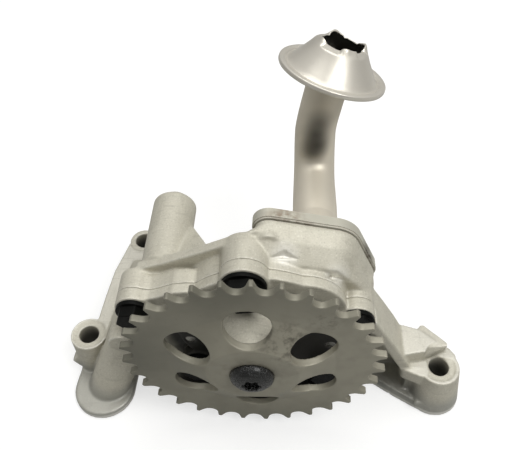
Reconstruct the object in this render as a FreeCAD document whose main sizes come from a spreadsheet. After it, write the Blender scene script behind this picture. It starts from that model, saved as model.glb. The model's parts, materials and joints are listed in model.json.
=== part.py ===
import FreeCAD, Part
import math
import os
import Sketcher

# Engine oil pump driven by a roller chain
# The shaft axis lies along Y, the origin is on it in the chain plane, and +Z points up.
# The faces that bolt to the engine block lie in one plane below the shaft.

os.makedirs("parts", exist_ok=True)
doc = FreeCAD.newDocument("oil_pump")
sheet = doc.addObject("Spreadsheet::Sheet", "dims")
Vec = FreeCAD.Vector
row = [0]


class Size(float):
    # A number that also knows its cell, so that sums of sizes stay bound to the sheet
    def __new__(cls, value, text):
        made = float.__new__(cls, value)
        made.text = text
        return made

    def __add__(self, other):
        return Size(float(self) + float(other), "(%s + %s)" % (self.text, words(other)))

    def __radd__(self, other):
        return Size(float(other) + float(self), "(%s + %s)" % (words(other), self.text))

    def __sub__(self, other):
        return Size(float(self) - float(other), "(%s - %s)" % (self.text, words(other)))

    def __rsub__(self, other):
        return Size(float(other) - float(self), "(%s - %s)" % (words(other), self.text))

    def __mul__(self, other):
        return Size(float(self) * float(other), "(%s * %s)" % (self.text, words(other)))

    def __rmul__(self, other):
        return Size(float(other) * float(self), "(%s * %s)" % (words(other), self.text))

    def __truediv__(self, other):
        return Size(float(self) / float(other), "(%s / %s)" % (self.text, words(other)))

    def __neg__(self):
        return Size(-float(self), "(0 - %s)" % self.text)


def words(value):
    if isinstance(value, Size):
        return value.text
    if value < 0:
        return "(0 - %.6f)" % -value
    return "%.6f" % value


def size(alias, value):
    row[0] += 1
    cell = "B%d" % row[0]
    sheet.set("A%d" % row[0], alias)
    sheet.set(cell, str(value))
    sheet.setAlias(cell, alias)
    return Size(value, "dims." + alias)


# Chain drive
chain_pitch = size("chain_pitch", 9.525)
roller_radius = size("roller_radius", 3.25)
pitch_radius = size("pitch_radius", 47.08)
tip_radius = size("tip_radius", 48.8)
tooth_flank_angle = size("tooth_flank_angle", 24.0)
ring_thickness = size("ring_thickness", 2.8)
dish_depth = size("dish_depth", 5.0)
dish_outer_radius = size("dish_outer_radius", 30.5)
dish_inner_radius = size("dish_inner_radius", 17.0)
window_radius = size("window_radius", 8.4)
window_place = size("window_place", 25.9)
tooth_count = 31
window_count = 6

# Shaft line
shaft_radius = size("shaft_radius", 7.0)
spigot_radius = size("spigot_radius", 6.0)
spigot_flat = size("spigot_flat", 4.7)
shaft_rear = size("shaft_rear", 44.0)
bush_wall = size("bush_wall", 1.5)
shaft_clearance = size("shaft_clearance", 0.04)
bolt_head_radius = size("bolt_head_radius", 8.2)
bolt_head_height = size("bolt_head_height", 4.6)
centre_bolt_radius = size("centre_bolt_radius", 4.0)
centre_bolt_length = size("centre_bolt_length", 20.0)
key_width = size("key_width", 3.0)

# Rotor set
eccentricity = size("eccentricity", 2.0)
lobe_radius = size("lobe_radius", 5.8)
lobe_circle = size("lobe_circle", 18.2)
outer_rotor_radius = size("outer_rotor_radius", 20.5)
rotor_width = size("rotor_width", 12.0)
rotor_clearance = size("rotor_clearance", 0.06)
kidney_inner = size("kidney_inner", 11.0)
kidney_outer = size("kidney_outer", 16.3)
inner_lobes = 6

# Stations along the shaft
boss_front = size("boss_front", 16.6)
parting = size("parting", 22.0)
drum_rear = size("drum_rear", 38.0)
bearing_rear = size("bearing_rear", 45.0)
suction_face = size("suction_face", 38.8)

# Drum and bolt bosses, seen along the shaft
drum_x = size("drum_x", 2.0)
drum_z = size("drum_z", -7.0)
drum_radius = size("drum_radius", 34.0)
left_boss_x = size("left_boss_x", -46.5)
left_boss_z = size("left_boss_z", 5.0)
left_boss_radius = size("left_boss_radius", 7.3)
top_boss_x = size("top_boss_x", -4.0)
top_boss_z = size("top_boss_z", 23.5)
top_boss_radius = size("top_boss_radius", 9.2)
right_boss_x = size("right_boss_x", 38.5)
right_boss_z = size("right_boss_z", 4.5)
right_boss_radius = size("right_boss_radius", 6.9)
low_boss_left_x = size("low_boss_left_x", -24.0)
low_boss_right_x = size("low_boss_right_x", 29.0)
low_boss_z = size("low_boss_z", -33.5)
low_boss_radius = size("low_boss_radius", 7.0)
small_bolt_radius = size("small_bolt_radius", 3.0)
small_head_radius = size("small_head_radius", 5.5)
small_flange_radius = size("small_flange_radius", 6.7)
small_head_height = size("small_head_height", 6.2)
large_bolt_radius = size("large_bolt_radius", 4.0)
large_head_radius = size("large_head_radius", 7.0)
large_flange_radius = size("large_flange_radius", 8.5)
large_head_height = size("large_head_height", 7.6)
bolt_flange_height = size("bolt_flange_height", 1.8)

# Mounting lugs, seen from above
mount_plane = size("mount_plane", -54.0)
lug_top = size("lug_top", -30.0)
lug_hole_radius = size("lug_hole_radius", 4.2)
left_lug_x = size("left_lug_x", -73.0)
left_lug_y = size("left_lug_y", 26.0)
left_lug_radius = size("left_lug_radius", 7.8)
rear_lug_x = size("rear_lug_x", -57.6)
rear_lug_y = size("rear_lug_y", 79.4)
rear_lug_radius = size("rear_lug_radius", 6.8)
right_lug_x = size("right_lug_x", 77.0)
right_lug_y = size("right_lug_y", 17.0)
right_lug_radius = size("right_lug_radius", 8.6)
right_lug_flare = size("right_lug_flare", 11.6)
pad_top = size("pad_top", -22.5)
rim_height = size("rim_height", 6.0)

# Outlet foot
foot_x = size("foot_x", -66.6)
foot_y = size("foot_y", 11.2)
foot_radius = size("foot_radius", 13.0)
foot_thickness = size("foot_thickness", 4.0)
duct_radius = size("duct_radius", 9.2)
outlet_bore_radius = size("outlet_bore_radius", 6.5)
seal_radius = size("seal_radius", 9.6)
seal_section = size("seal_section", 1.2)

# Relief valve
barrel_x = size("barrel_x", -37.2)
barrel_z = size("barrel_z", 7.0)
barrel_radius = size("barrel_radius", 9.2)
barrel_rear = size("barrel_rear", 73.0)
barrel_round = size("barrel_round", 4.5)
piston_radius = size("piston_radius", 6.0)
piston_length = size("piston_length", 14.0)
piston_wall = size("piston_wall", 1.4)
piston_clearance = size("piston_clearance", 0.03)
valve_bore_front = size("valve_bore_front", 31.5)
valve_bore_rear = size("valve_bore_rear", 65.0)
feed_radius = size("feed_radius", 3.2)
spring_radius = size("spring_radius", 3.5)
spring_wire = size("spring_wire", 0.6)
spring_turns = 7

# Suction side
port_x = size("port_x", 22.2)
port_z = size("port_z", 18.0)
ear_left_x = size("ear_left_x", 4.2)
ear_left_z = size("ear_left_z", 29.4)
ear_left_radius = size("ear_left_radius", 6.4)
ear_right_x = size("ear_right_x", 40.2)
ear_right_z = size("ear_right_z", 5.2)
ear_right_radius = size("ear_right_radius", 7.0)
shoulder_x = size("shoulder_x", 27.8)
shoulder_z = size("shoulder_z", 19.3)
shoulder_radius = size("shoulder_radius", 12.3)
port_under_radius = size("port_under_radius", 11.5)
body_x = size("body_x", 18.1)
body_z = size("body_z", 7.0)
body_radius = size("body_radius", 16.5)
tube_shift = size("tube_shift", 2.5)
suction_bore_radius = size("suction_bore_radius", 7.4)
gasket_thickness = size("gasket_thickness", 0.7)
flange_thickness = size("flange_thickness", 4.0)
tube_radius = size("tube_radius", 8.6)
tube_wall = size("tube_wall", 1.2)
tube_bend = size("tube_bend", 24.0)
corner_y = size("corner_y", 85.0)
strainer_x = size("strainer_x", 26.2)
strainer_y = size("strainer_y", 89.8)
strainer_z = size("strainer_z", 63.4)
brim_radius = size("brim_radius", 21.5)
cone_base_radius = size("cone_base_radius", 17.8)
mouth_radius = size("mouth_radius", 8.3)
bell_height = size("bell_height", 13.2)
sheet_thickness = size("sheet_thickness", 0.8)
lean_x = size("lean_x", 15.3)
lean_y = size("lean_y", 12.5)
doc.recompute()

PLANES = {"Y": "XZ_Plane", "Z": "XY_Plane", "X": "YZ_Plane"}


def bind(target, name, value):
    setattr(target, name, float(value))
    if isinstance(value, Size):
        target.setExpression(name, value.text)


def make_body(label):
    body = doc.addObject("PartDesign::Body", label)
    body.Label = label
    return body


def attach(body, feature, axis, across, up, level):
    # The plane square to the axis, moved to (across, up) and to its level on the axis
    for found in body.Origin.OriginFeatures:
        if found.Role == PLANES[axis]:
            feature.AttachmentSupport = [(found, "")]
    feature.MapMode = "FlatFace"
    depth = -level if axis == "Y" else level
    feature.AttachmentOffset = FreeCAD.Placement(Vec(across, up, depth), FreeCAD.Rotation())
    for letter, value in (("x", across), ("y", up), ("z", depth)):
        if isinstance(value, Size):
            feature.setExpression("AttachmentOffset.Base." + letter, value.text)


def make_sketch(body, name, axis, level, across=0.0, up=0.0):
    drawn = body.newObject("Sketcher::SketchObject", name)
    attach(body, drawn, axis, across, up, level)
    return drawn


def pin_point(drawn, geo, point, x, y):
    for kind, value in (("DistanceX", x), ("DistanceY", y)):
        index = drawn.addConstraint(Sketcher.Constraint(kind, -1, 1, geo, point, float(value)))
        if isinstance(value, Size):
            drawn.setExpression("Constraints[%d]" % index, value.text)


def pin_radius(drawn, geo, value):
    index = drawn.addConstraint(Sketcher.Constraint("Radius", geo, float(value)))
    if isinstance(value, Size):
        drawn.setExpression("Constraints[%d]" % index, value.text)


def draw_circle(drawn, radius, x=0.0, y=0.0):
    geo = drawn.addGeometry(Part.Circle(Vec(x, y, 0), Vec(0, 0, 1), float(radius)), False)
    pin_radius(drawn, geo, radius)
    pin_point(drawn, geo, 3, x, y)


def draw_polygon(drawn, points):
    count = len(points)
    for i in range(count):
        begin = Vec(points[i][0], points[i][1], 0)
        finish = Vec(points[(i + 1) % count][0], points[(i + 1) % count][1], 0)
        drawn.addGeometry(Part.LineSegment(begin, finish), False)
    for i in range(count):
        drawn.addConstraint(Sketcher.Constraint("Coincident", i, 2, (i + 1) % count, 1))
    for i in range(count):
        pin_point(drawn, i, 1, points[i][0], points[i][1])


def draw_hull(drawn, circles):
    # The belt round circles given in anticlockwise order: arcs joined by tangent lines
    count = len(circles)
    touch = []
    for i in range(count):
        xa, ya, ra = [float(v) for v in circles[i]]
        xb, yb, rb = [float(v) for v in circles[(i + 1) % count]]
        length = math.hypot(xb - xa, yb - ya)
        ux = (xb - xa) / length
        uy = (yb - ya) / length
        along = (ra - rb) / length
        side = math.sqrt(1.0 - along * along)
        mx = ux * along + uy * side
        my = uy * along - ux * side
        touch.append((xa + ra * mx, ya + ra * my, xb + rb * mx, yb + rb * my, math.atan2(my, mx)))
    for i in range(count):
        x, y, radius = [float(v) for v in circles[i]]
        start = touch[i - 1][4]
        finish = touch[i][4]
        while finish <= start:
            finish += 2 * math.pi
        circle = Part.Circle(Vec(x, y, 0), Vec(0, 0, 1), radius)
        drawn.addGeometry(Part.ArcOfCircle(circle, start, finish), False)
    for i in range(count):
        xa, ya, xb, yb, angle = touch[i]
        drawn.addGeometry(Part.LineSegment(Vec(xa, ya, 0), Vec(xb, yb, 0)), False)
    for i in range(count):
        drawn.addConstraint(Sketcher.Constraint("Tangent", i, 2, count + i, 1))
        drawn.addConstraint(Sketcher.Constraint("Tangent", count + i, 2, (i + 1) % count, 1))
    for i in range(count):
        pin_radius(drawn, i, circles[i][2])
        pin_point(drawn, i, 3, circles[i][0], circles[i][1])


def draw_sector(drawn, inner, outer, start, finish):
    # A kidney: two arcs about the sketch's own centre, closed by radial ends
    low = math.radians(start)
    high = math.radians(finish)
    ends = []
    for radius in (inner, outer):
        circle = Part.Circle(Vec(0, 0, 0), Vec(0, 0, 1), float(radius))
        drawn.addGeometry(Part.ArcOfCircle(circle, low, high), False)
        ends.append((Vec(radius * math.cos(low), radius * math.sin(low), 0),
                     Vec(radius * math.cos(high), radius * math.sin(high), 0)))
    drawn.addGeometry(Part.LineSegment(ends[0][0], ends[1][0]), False)
    drawn.addGeometry(Part.LineSegment(ends[0][1], ends[1][1]), False)
    drawn.addConstraint(Sketcher.Constraint("Coincident", 0, 1, 2, 1))
    drawn.addConstraint(Sketcher.Constraint("Coincident", 1, 1, 2, 2))
    drawn.addConstraint(Sketcher.Constraint("Coincident", 0, 2, 3, 1))
    drawn.addConstraint(Sketcher.Constraint("Coincident", 1, 2, 3, 2))
    for geo, radius in ((0, inner), (1, outer)):
        pin_radius(drawn, geo, radius)
        drawn.addConstraint(Sketcher.Constraint("Coincident", geo, 3, -1, 1))


def extrude(body, name, axis, low, high, draw, cut=False, across=0.0, up=0.0):
    # A pad or a pocket from low to high along the axis
    if isinstance(body, Casting):
        made = drawn_stock(name, axis, low, high, draw, across, up)
        (body.cores if cut else body.solids).append(made)
        return made
    drawn = make_sketch(body, name + "_sketch", axis, high if (axis == "Y") != cut else low, across, up)
    draw(drawn)
    feature = body.newObject("PartDesign::Pocket" if cut else "PartDesign::Pad", name)
    feature.Profile = drawn
    if cut:
        feature.Reversed = False
    bind(feature, "Length", high - low)
    feature.Refine = False
    return feature


def polygon(body, name, axis, low, high, points, cut=False):
    return extrude(body, name, axis, low, high, lambda drawn: draw_polygon(drawn, points), cut)


def hull(body, name, axis, low, high, circles, cut=False):
    return extrude(body, name, axis, low, high, lambda drawn: draw_hull(drawn, circles), cut)


def rod(body, name, axis, across, up, low, high, radius, cut=False):
    if isinstance(body, Casting):
        made = round_stock(name, axis, across, up, low, high, radius)
        (body.cores if cut else body.solids).append(made)
        return made
    kind = "PartDesign::SubtractiveCylinder" if cut else "PartDesign::AdditiveCylinder"
    feature = body.newObject(kind, name)
    attach(body, feature, axis, across, up, high if axis == "Y" else low)
    bind(feature, "Radius", radius)
    bind(feature, "Height", high - low)
    feature.Refine = False
    return feature


def hole(body, name, axis, across, up, low, high, radius):
    return rod(body, name, axis, across, up, low, high, radius, True)


def cone_rod(body, name, across, up, low, high, front_radius, rear_radius):
    # A tapered boss along Y: front_radius at low, rear_radius at high
    feature = body.newObject("PartDesign::AdditiveCone", name)
    attach(body, feature, "Y", across, up, high)
    bind(feature, "Radius1", rear_radius)
    bind(feature, "Radius2", front_radius)
    bind(feature, "Height", high - low)
    feature.Refine = False
    return feature


def turn(body, name, points, cut=False, level=0.0, across=0.0, up=0.0):
    # A profile of (radius, station) turned about Y through (across, up)
    drawn = make_sketch(body, name + "_sketch", "Z", up, across, level)
    draw_polygon(drawn, points)
    feature = body.newObject("PartDesign::Groove" if cut else "PartDesign::Revolution", name)
    feature.Profile = drawn
    feature.ReferenceAxis = (drawn, ["V_Axis"])
    feature.Angle = 360.0
    feature.Refine = False
    return feature


def polar(body, name, features, axis, count):
    pattern = body.newObject("PartDesign::PolarPattern", name)
    pattern.Originals = features
    for found in body.Origin.OriginFeatures:
        if found.Role == axis + "_Axis":
            pattern.Axis = (found, [""])
    pattern.Angle = 360.0
    pattern.Occurrences = count
    pattern.Refine = False
    body.Tip = pattern
    return pattern


class Casting:
    # The solids that are fused into a casting, and the cores and bores that are cut from it
    def __init__(self, name):
        self.name = name
        self.solids = []
        self.cores = []


TURNS = {
    "X": FreeCAD.Rotation(Vec(1, 1, 1), 120),
    "Y": FreeCAD.Rotation(Vec(1, 0, 0), 90),
    "Z": FreeCAD.Rotation(),
}
OUTWARD = {"X": Vec(1, 0, 0), "Y": Vec(0, -1, 0), "Z": Vec(0, 0, 1)}


def place(made, axis, across, up, level):
    spots = {"X": (level, across, up), "Y": (across, level, up), "Z": (across, up, level)}[axis]
    made.Placement = FreeCAD.Placement(Vec(*[float(v) for v in spots]), TURNS[axis])
    for letter, value in zip("xyz", spots):
        if isinstance(value, Size):
            made.setExpression("Placement.Base." + letter, value.text)


def round_stock(name, axis, across, up, low, high, radius):
    made = doc.addObject("Part::Cylinder", name)
    bind(made, "Radius", radius)
    bind(made, "Height", high - low)
    place(made, axis, across, up, high if axis == "Y" else low)
    return made


def taper_stock(name, axis, across, up, low, high, low_radius, high_radius):
    made = doc.addObject("Part::Cone", name)
    first, second = (high_radius, low_radius) if axis == "Y" else (low_radius, high_radius)
    bind(made, "Radius1", first)
    bind(made, "Radius2", second)
    bind(made, "Height", high - low)
    place(made, axis, across, up, high if axis == "Y" else low)
    return made


def drawn_stock(name, axis, low, high, draw, across=0.0, up=0.0):
    drawn = doc.addObject("Sketcher::SketchObject", name + "_sketch")
    place(drawn, axis, across, up, high if axis == "Y" else low)
    draw(drawn)
    made = doc.addObject("Part::Extrusion", name)
    made.Base = drawn
    made.DirMode = "Custom"
    made.Dir = OUTWARD[axis]
    made.Solid = True
    bind(made, "LengthFwd", high - low)
    return made


def skewed_stock(name, axis, first, second):
    # A tapered duct between two circles given as (across, up, level, radius)
    rings = []
    for i, (across, up, level, radius) in enumerate((first, second)):
        drawn = doc.addObject("Sketcher::SketchObject", "%s_ring_%d" % (name, i))
        place(drawn, axis, across, up, level)
        draw_circle(drawn, radius)
        rings.append(drawn)
    made = doc.addObject("Part::Loft", name)
    made.Sections = rings
    made.Solid = True
    made.Ruled = True
    return made


def lofted_stock(name, axis, sections, draw=draw_polygon):
    # A web that runs straight from one outline to the next, each given as (level, points or circles)
    rings = []
    for i, (level, points) in enumerate(sections):
        drawn = doc.addObject("Sketcher::SketchObject", "%s_outline_%d" % (name, i))
        place(drawn, axis, 0.0, 0.0, level)
        draw(drawn, points)
        rings.append(drawn)
    made = doc.addObject("Part::Loft", name)
    made.Sections = rings
    made.Solid = True
    made.Ruled = True
    return made


def cast(casting):
    # One fusion of the solids, one of the cores, and one cut
    fused = doc.addObject("Part::MultiFuse", casting.name + "_blank")
    fused.Shapes = casting.solids
    fused.Refine = False
    cores = doc.addObject("Part::MultiFuse", casting.name + "_cores")
    cores.Shapes = casting.cores
    cores.Refine = False
    made = doc.addObject("Part::Cut", casting.name)
    made.Label = casting.name
    made.Base = fused
    made.Tool = cores
    made.Refine = False
    return made


# Pump housing: drum, bolt bosses, feet, duct, barrel and suction neck
housing = Casting("pump_housing")
rod(housing, "drum", "Y", drum_x, drum_z, parting, drum_rear, drum_radius)
rod(housing, "bearing_boss", "Y", 0.0, 0.0, drum_rear - 2.0, bearing_rear, shaft_radius + 4.0)
left_circle = (left_boss_x, left_boss_z, left_boss_radius)
top_circle = (top_boss_x, top_boss_z, top_boss_radius)
right_circle = (right_boss_x, right_boss_z, right_boss_radius)
drum_circle = (drum_x, drum_z, drum_radius)
rod(housing, "left_boss", "Y", left_boss_x, left_boss_z, parting, parting + 9.5, left_boss_radius)
rod(housing, "top_boss", "Y", top_boss_x, top_boss_z, parting, parting + 12.5, top_boss_radius)
rod(housing, "right_boss", "Y", right_boss_x, right_boss_z, parting, suction_face - 1.0, right_boss_radius)
for side, x in (("left", low_boss_left_x), ("right", low_boss_right_x)):
    rod(housing, "low_boss_" + side, "Y", x, low_boss_z, parting, parting + 14.0, low_boss_radius)
side_web = [
    (left_boss_x + 1.0, left_boss_z + left_boss_radius - 0.4),
    (left_boss_x + 6.0, left_boss_z + 6.0),
    (left_boss_x + 9.2, left_boss_z + 7.2),
    (left_boss_x + 15.4, left_boss_z + 10.6),
    (left_boss_x + 21.2, left_boss_z + 11.6),
    (left_boss_x + 25.7, left_boss_z + 11.4),
    (left_boss_x + 29.0, left_boss_z + 14.4),
    (left_boss_x + 36.0, left_boss_z + 18.4),
    (left_boss_x + 36.0, left_boss_z - 5.0),
    (left_boss_x + 30.0, left_boss_z - 20.0),
    (left_boss_x + 6.0, left_boss_z - 20.0),
]
polygon(housing, "front_web", "Y", parting, parting + 6.8, side_web)
rear_web = [
    (left_boss_x - 0.6, left_boss_z + left_boss_radius - 0.5),
    (left_boss_x + 8.8, left_boss_z + 10.6),
    (left_boss_x + 17.2, left_boss_z + 14.8),
    (left_boss_x + 27.5, left_boss_z + 20.0),
    (top_boss_x - 4.4, top_boss_z + 7.4),
    (top_boss_x, top_boss_z),
    (left_boss_x + 12.0, left_boss_z - 16.0),
    (left_boss_x, left_boss_z - 4.0),
]
polygon(housing, "rear_web", "Y", parting + 8.4, parting + 12.5, rear_web)
# The pocket floor that joins the two webs lies lower than their edges
pocket_floor = [
    (left_boss_x + 2.5, left_boss_z + 5.2),
    (left_boss_x + 9.2, left_boss_z + 5.8),
    (left_boss_x + 15.4, left_boss_z + 8.8),
    (left_boss_x + 25.7, left_boss_z + 9.2),
    (left_boss_x + 38.0, left_boss_z + 15.0),
    (left_boss_x + 30.0, left_boss_z - 18.0),
    (left_boss_x + 6.0, left_boss_z - 18.0),
]
polygon(housing, "pocket_floor", "Y", parting + 6.0, parting + 9.0, pocket_floor)
rod(housing, "top_body", "Y", body_x, body_z, parting, drum_rear, body_radius)

# Suction neck: skewed cones that carry the body up to the flange face
housing.solids.append(skewed_stock(
    "neck_under", "Y",
    (drum_x + 0.5, drum_z, parting + 9.0, drum_radius - 1.0),
    (port_x, port_z - 2.0, suction_face - 1.0, port_under_radius - 1.0)))


def port_belt(grow):
    # One belt round the two ears, the shoulder and the underside
    return [
        (ear_right_x, ear_right_z, ear_right_radius + grow),
        (shoulder_x, shoulder_z, shoulder_radius + grow),
        (ear_left_x, ear_left_z, ear_left_radius + grow),
        (port_x - 3.0, port_z - 4.0, port_under_radius + grow),
    ]


def port_outline(body, name, low, high, grow):
    return hull(body, name, "Y", low, high, port_belt(grow))


# The body swells from its own outline, past a belt round the bosses, to the port face
body_under = (top_boss_x + 12.0, drum_z + 4.0, 12.0)
housing.solids.append(lofted_stock("body_swell", "Y", [
    (parting + 5.5, [
        (right_boss_x, right_boss_z, right_boss_radius - 0.6),
        (body_x, body_z, body_radius - 0.3),
        (top_boss_x + 2.0, top_boss_z - 8.5, 7.0),
        body_under,
    ]),
    (suction_face - 5.3, [
        (right_boss_x, right_boss_z, right_boss_radius - 0.2),
        (body_x, body_z, body_radius),
        (top_boss_x + 3.5, top_boss_z + 1.5, top_boss_radius - 0.6),
        body_under,
    ]),
    (suction_face - 2.0, port_belt(-0.9)),
], draw_hull))
rod(housing, "ear_left_post", "Y", ear_left_x, ear_left_z, suction_face - 7.5, suction_face - 1.0,
    ear_left_radius - 1.9)
rod(housing, "ear_right_post", "Y", ear_right_x, ear_right_z, suction_face - 7.5, suction_face - 1.0,
    ear_right_radius - 1.2)
port_outline(housing, "port_face", suction_face - 2.2, suction_face, -0.9)

# Left side: side wall that falls towards the rear lug, rail with two lugs, outlet duct and foot
side_wall = [
    (left_boss_x - left_boss_radius + 0.3, left_boss_z - 1.0),
    (left_boss_x - 13.0, -14.0),
    (left_boss_x - 18.5, lug_top + 1.0),
    (left_boss_x - 18.5, mount_plane + 12.0),
    (left_boss_x + 4.0, mount_plane + 12.0),
    (drum_x - 22.0, drum_z - 22.0),
    (drum_x - 26.0, left_boss_z),
]
wall_foot = [
    (rear_lug_x - 1.9, lug_top - 0.5),
    (rear_lug_x - 3.4, lug_top - 1.5),
    (rear_lug_x - 4.4, lug_top - 3.0),
    (rear_lug_x - 4.4, mount_plane + 12.0),
    (rear_lug_x + 7.6, mount_plane + 12.0),
    (rear_lug_x + 8.6, lug_top - 6.0),
    (rear_lug_x + 8.6, lug_top - 0.5),
]
housing.solids.append(lofted_stock("side_wall", "Y", [
    (parting + 2.0, side_wall),
    (rear_lug_y - 12.0, wall_foot),
]))
rail = [
    (left_lug_x + 2.0, left_lug_y),
    (left_lug_x + 3.2, left_lug_y + 19.0),
    (left_lug_x + 4.6, left_lug_y + 34.0),
    (rear_lug_x - 6.6, rear_lug_y - 2.0),
    (rear_lug_x + 4.0, rear_lug_y),
    (rear_lug_x + 10.0, rear_lug_y - 12.0),
    (rear_lug_x + 12.0, left_lug_y),
]
polygon(housing, "rail", "Z", mount_plane, lug_top, rail)
rod(housing, "left_lug", "Z", left_lug_x, left_lug_y, mount_plane, lug_top, left_lug_radius)
rod(housing, "rear_lug", "Z", rear_lug_x, rear_lug_y, mount_plane, lug_top, rear_lug_radius)
foot_outline = [
    (foot_x, foot_y, foot_radius),
    (foot_x + 6.5, foot_y + 14.0, 7.0),
    (foot_x - 5.0, foot_y + 12.0, 7.0),
]
hull(housing, "foot", "Z", mount_plane, mount_plane + foot_thickness, foot_outline)
housing.solids.append(skewed_stock(
    "duct", "Z",
    (foot_x + 0.8, foot_y + 1.8, mount_plane + 1.0, duct_radius),
    (left_boss_x + 1.0, parting + 2.0, left_boss_z - 8.0, duct_radius)))
rod(housing, "gallery_boss", "Y", left_boss_x - 5.8, left_boss_z - 14.0, boss_front - 7.5, parting + 6.0, 5.2)

# Relief-valve barrel with its web and gusset
rod(housing, "barrel", "Y", barrel_x, barrel_z, parting + 12.0, barrel_rear - barrel_round, barrel_radius)
housing.solids.append(taper_stock(
    "barrel_cap", "Y", barrel_x, barrel_z, barrel_rear - barrel_round, barrel_rear,
    barrel_radius, barrel_radius - barrel_round))
barrel_web = [
    (parting + 10.0, barrel_z),
    (barrel_rear - 9.0, barrel_z),
    (barrel_rear - 16.0, lug_top + 1.0),
    (parting + 10.0, lug_top + 1.0),
]
polygon(housing, "barrel_web", "X", barrel_x - 5.0, barrel_x + 3.0, barrel_web)
housing.solids.append(lofted_stock("gusset", "Y", [
    (parting + 11.0, [
        (barrel_x + 4.0, barrel_z - 10.0),
        (barrel_x + 20.0, barrel_z - 10.0),
        (barrel_x + 20.0, barrel_z + 15.6),
        (barrel_x + 4.0, barrel_z + 7.0),
    ]),
    (barrel_rear - 16.0, [
        (barrel_x + 4.0, barrel_z - 6.0),
        (barrel_x + 8.6, barrel_z - 6.0),
        (barrel_x + 8.6, barrel_z + 2.0),
        (barrel_x + 4.0, barrel_z + 3.0),
    ]),
]))

# Right side: sloped arm, raised pad, lug and bottom rim
arm_outline = [
    (right_boss_x + 2.0, right_boss_z + 4.0),
    (right_boss_x + 6.8, right_boss_z + 0.5),
    (right_boss_x + 12.5, right_boss_z - 9.0),
    (right_boss_x + 18.5, right_boss_z - 19.5),
    (right_boss_x + 26.0, right_boss_z - 34.0),
    (right_boss_x + 33.0, lug_top),
    (right_boss_x + 33.0, mount_plane),
    (right_boss_x + 7.0, mount_plane),
    (right_boss_x - 9.0, low_boss_z),
    (right_boss_x - 9.0, right_boss_z),
]
polygon(housing, "arm", "Y", parting - 6.6, parting + 10.0, arm_outline)
pad_outline = [
    (right_lug_x - 21.0, right_lug_y + 12.0),
    (right_lug_x - 15.0, right_lug_y + 14.8),
    (right_lug_x - 8.5, right_lug_y + 13.0),
    (right_lug_x + 4.5, right_lug_y + 2.0),
    (right_lug_x - 8.0, right_lug_y + 2.0),
    (right_lug_x - 21.0, right_lug_y - 1.0),
]
polygon(housing, "raised_pad", "Z", lug_top - 6.0, pad_top, pad_outline)
pad_leg = [
    (right_lug_x - 21.0, right_lug_y + 10.0),
    (right_lug_x - 8.5, right_lug_y + 12.6),
    (right_lug_x + 7.4, right_lug_y + 4.0),
    (right_lug_x, right_lug_y),
    (right_lug_x - 8.0, right_lug_y - 2.0),
]
polygon(housing, "pad_leg", "Z", mount_plane, lug_top, pad_leg)
housing.solids.append(skewed_stock(
    "right_lug", "Z",
    (right_lug_x + 1.5, right_lug_y + 0.4, mount_plane, right_lug_flare),
    (right_lug_x, right_lug_y, lug_top, right_lug_radius)))
arm_rim = [
    (right_lug_x - 17.0, right_lug_y - 2.3),
    (right_lug_x - 7.8, right_lug_y - 7.6),
    (right_lug_x - 1.2, right_lug_y - 10.8),
    (right_lug_x + 3.0, right_lug_y),
    (right_lug_x - 7.0, right_lug_y + 6.0),
    (right_lug_x - 17.0, right_lug_y + 6.0),
]
polygon(housing, "arm_rim", "Z", mount_plane, mount_plane + rim_height, arm_rim)

for name, x, z, front, length, radius in (
        ("arm_pin_upper", right_lug_x - 15.6, lug_top - 2.7, parting - 7.1, 9.0, 2.3),
        ("arm_pin_lower", right_lug_x - 6.4, mount_plane + 5.0, parting - 14.0, 6.0, 2.0)):
    rod(housing, name, "Y", x, z, front, front + length, radius)
rib_outline = [
    (left_lug_x - 6.0, lug_top - 10.0),
    (left_lug_x - 8.8, lug_top - 14.2),
    (left_lug_x - 6.0, lug_top - 19.0),
    (left_lug_x - 2.0, lug_top - 14.0),
]
polygon(housing, "left_lug_rib", "Y", left_lug_y - 6.0, left_lug_y - 1.5, rib_outline)

# Under the drum: a web between the feet and the flange along its lower edge
lower_web = [
    (left_boss_x + 4.0, mount_plane + 13.0),
    (left_boss_x + 16.0, mount_plane),
    (right_boss_x - 2.0, mount_plane),
    (right_boss_x + 8.0, mount_plane + 12.0),
    (right_boss_x - 9.0, low_boss_z + 12.0),
    (drum_x - 24.0, drum_z - 12.0),
]
polygon(housing, "lower_web", "Y", parting + 1.5, parting + 8.0, lower_web)
lower_flange = [
    (left_boss_x + 6.0, parting - 4.0),
    (left_boss_x + 16.0, parting - 8.0),
    (drum_x + 24.0, parting - 8.0),
    (right_boss_x - 2.5, parting + 7.5),
    (right_boss_x - 2.5, parting + 9.0),
    (left_boss_x + 6.0, parting + 9.0),
]
polygon(housing, "lower_flange", "Z", mount_plane, mount_plane + 4.0, lower_flange)

# Cores and machined faces
hollow = [
    (right_boss_x + 7.5, right_boss_z - 9.0),
    (right_boss_x + 12.0, right_boss_z - 16.5),
    (right_boss_x + 19.5, right_boss_z - 31.0),
    (right_boss_x + 26.0, lug_top - 8.0),
    (right_boss_x + 26.0, mount_plane + rim_height),
    (right_boss_x + 8.5, mount_plane + rim_height),
    (right_boss_x - 1.0, low_boss_z + 3.0),
    (right_boss_x + 1.0, right_boss_z - 9.0),
]
polygon(housing, "arm_hollow", "Y", parting - 7.6, parting + 6.0, hollow, True)
relief_front = parting - 7.6
hole(housing, "cover_relief", "Y", drum_x, drum_z, relief_front, parting, drum_radius + 0.3)
hole(housing, "pry_notch", "Y", body_x + 11.3, body_z + 14.1, parting + 0.8, parting + 4.6, 2.7)
hole(housing, "boss_relief_right", "Y", right_boss_x, right_boss_z, relief_front, parting, right_boss_radius + 0.3)
hole(housing, "boss_relief_low", "Y", low_boss_right_x, low_boss_z, relief_front, parting, low_boss_radius + 0.3)
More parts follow.
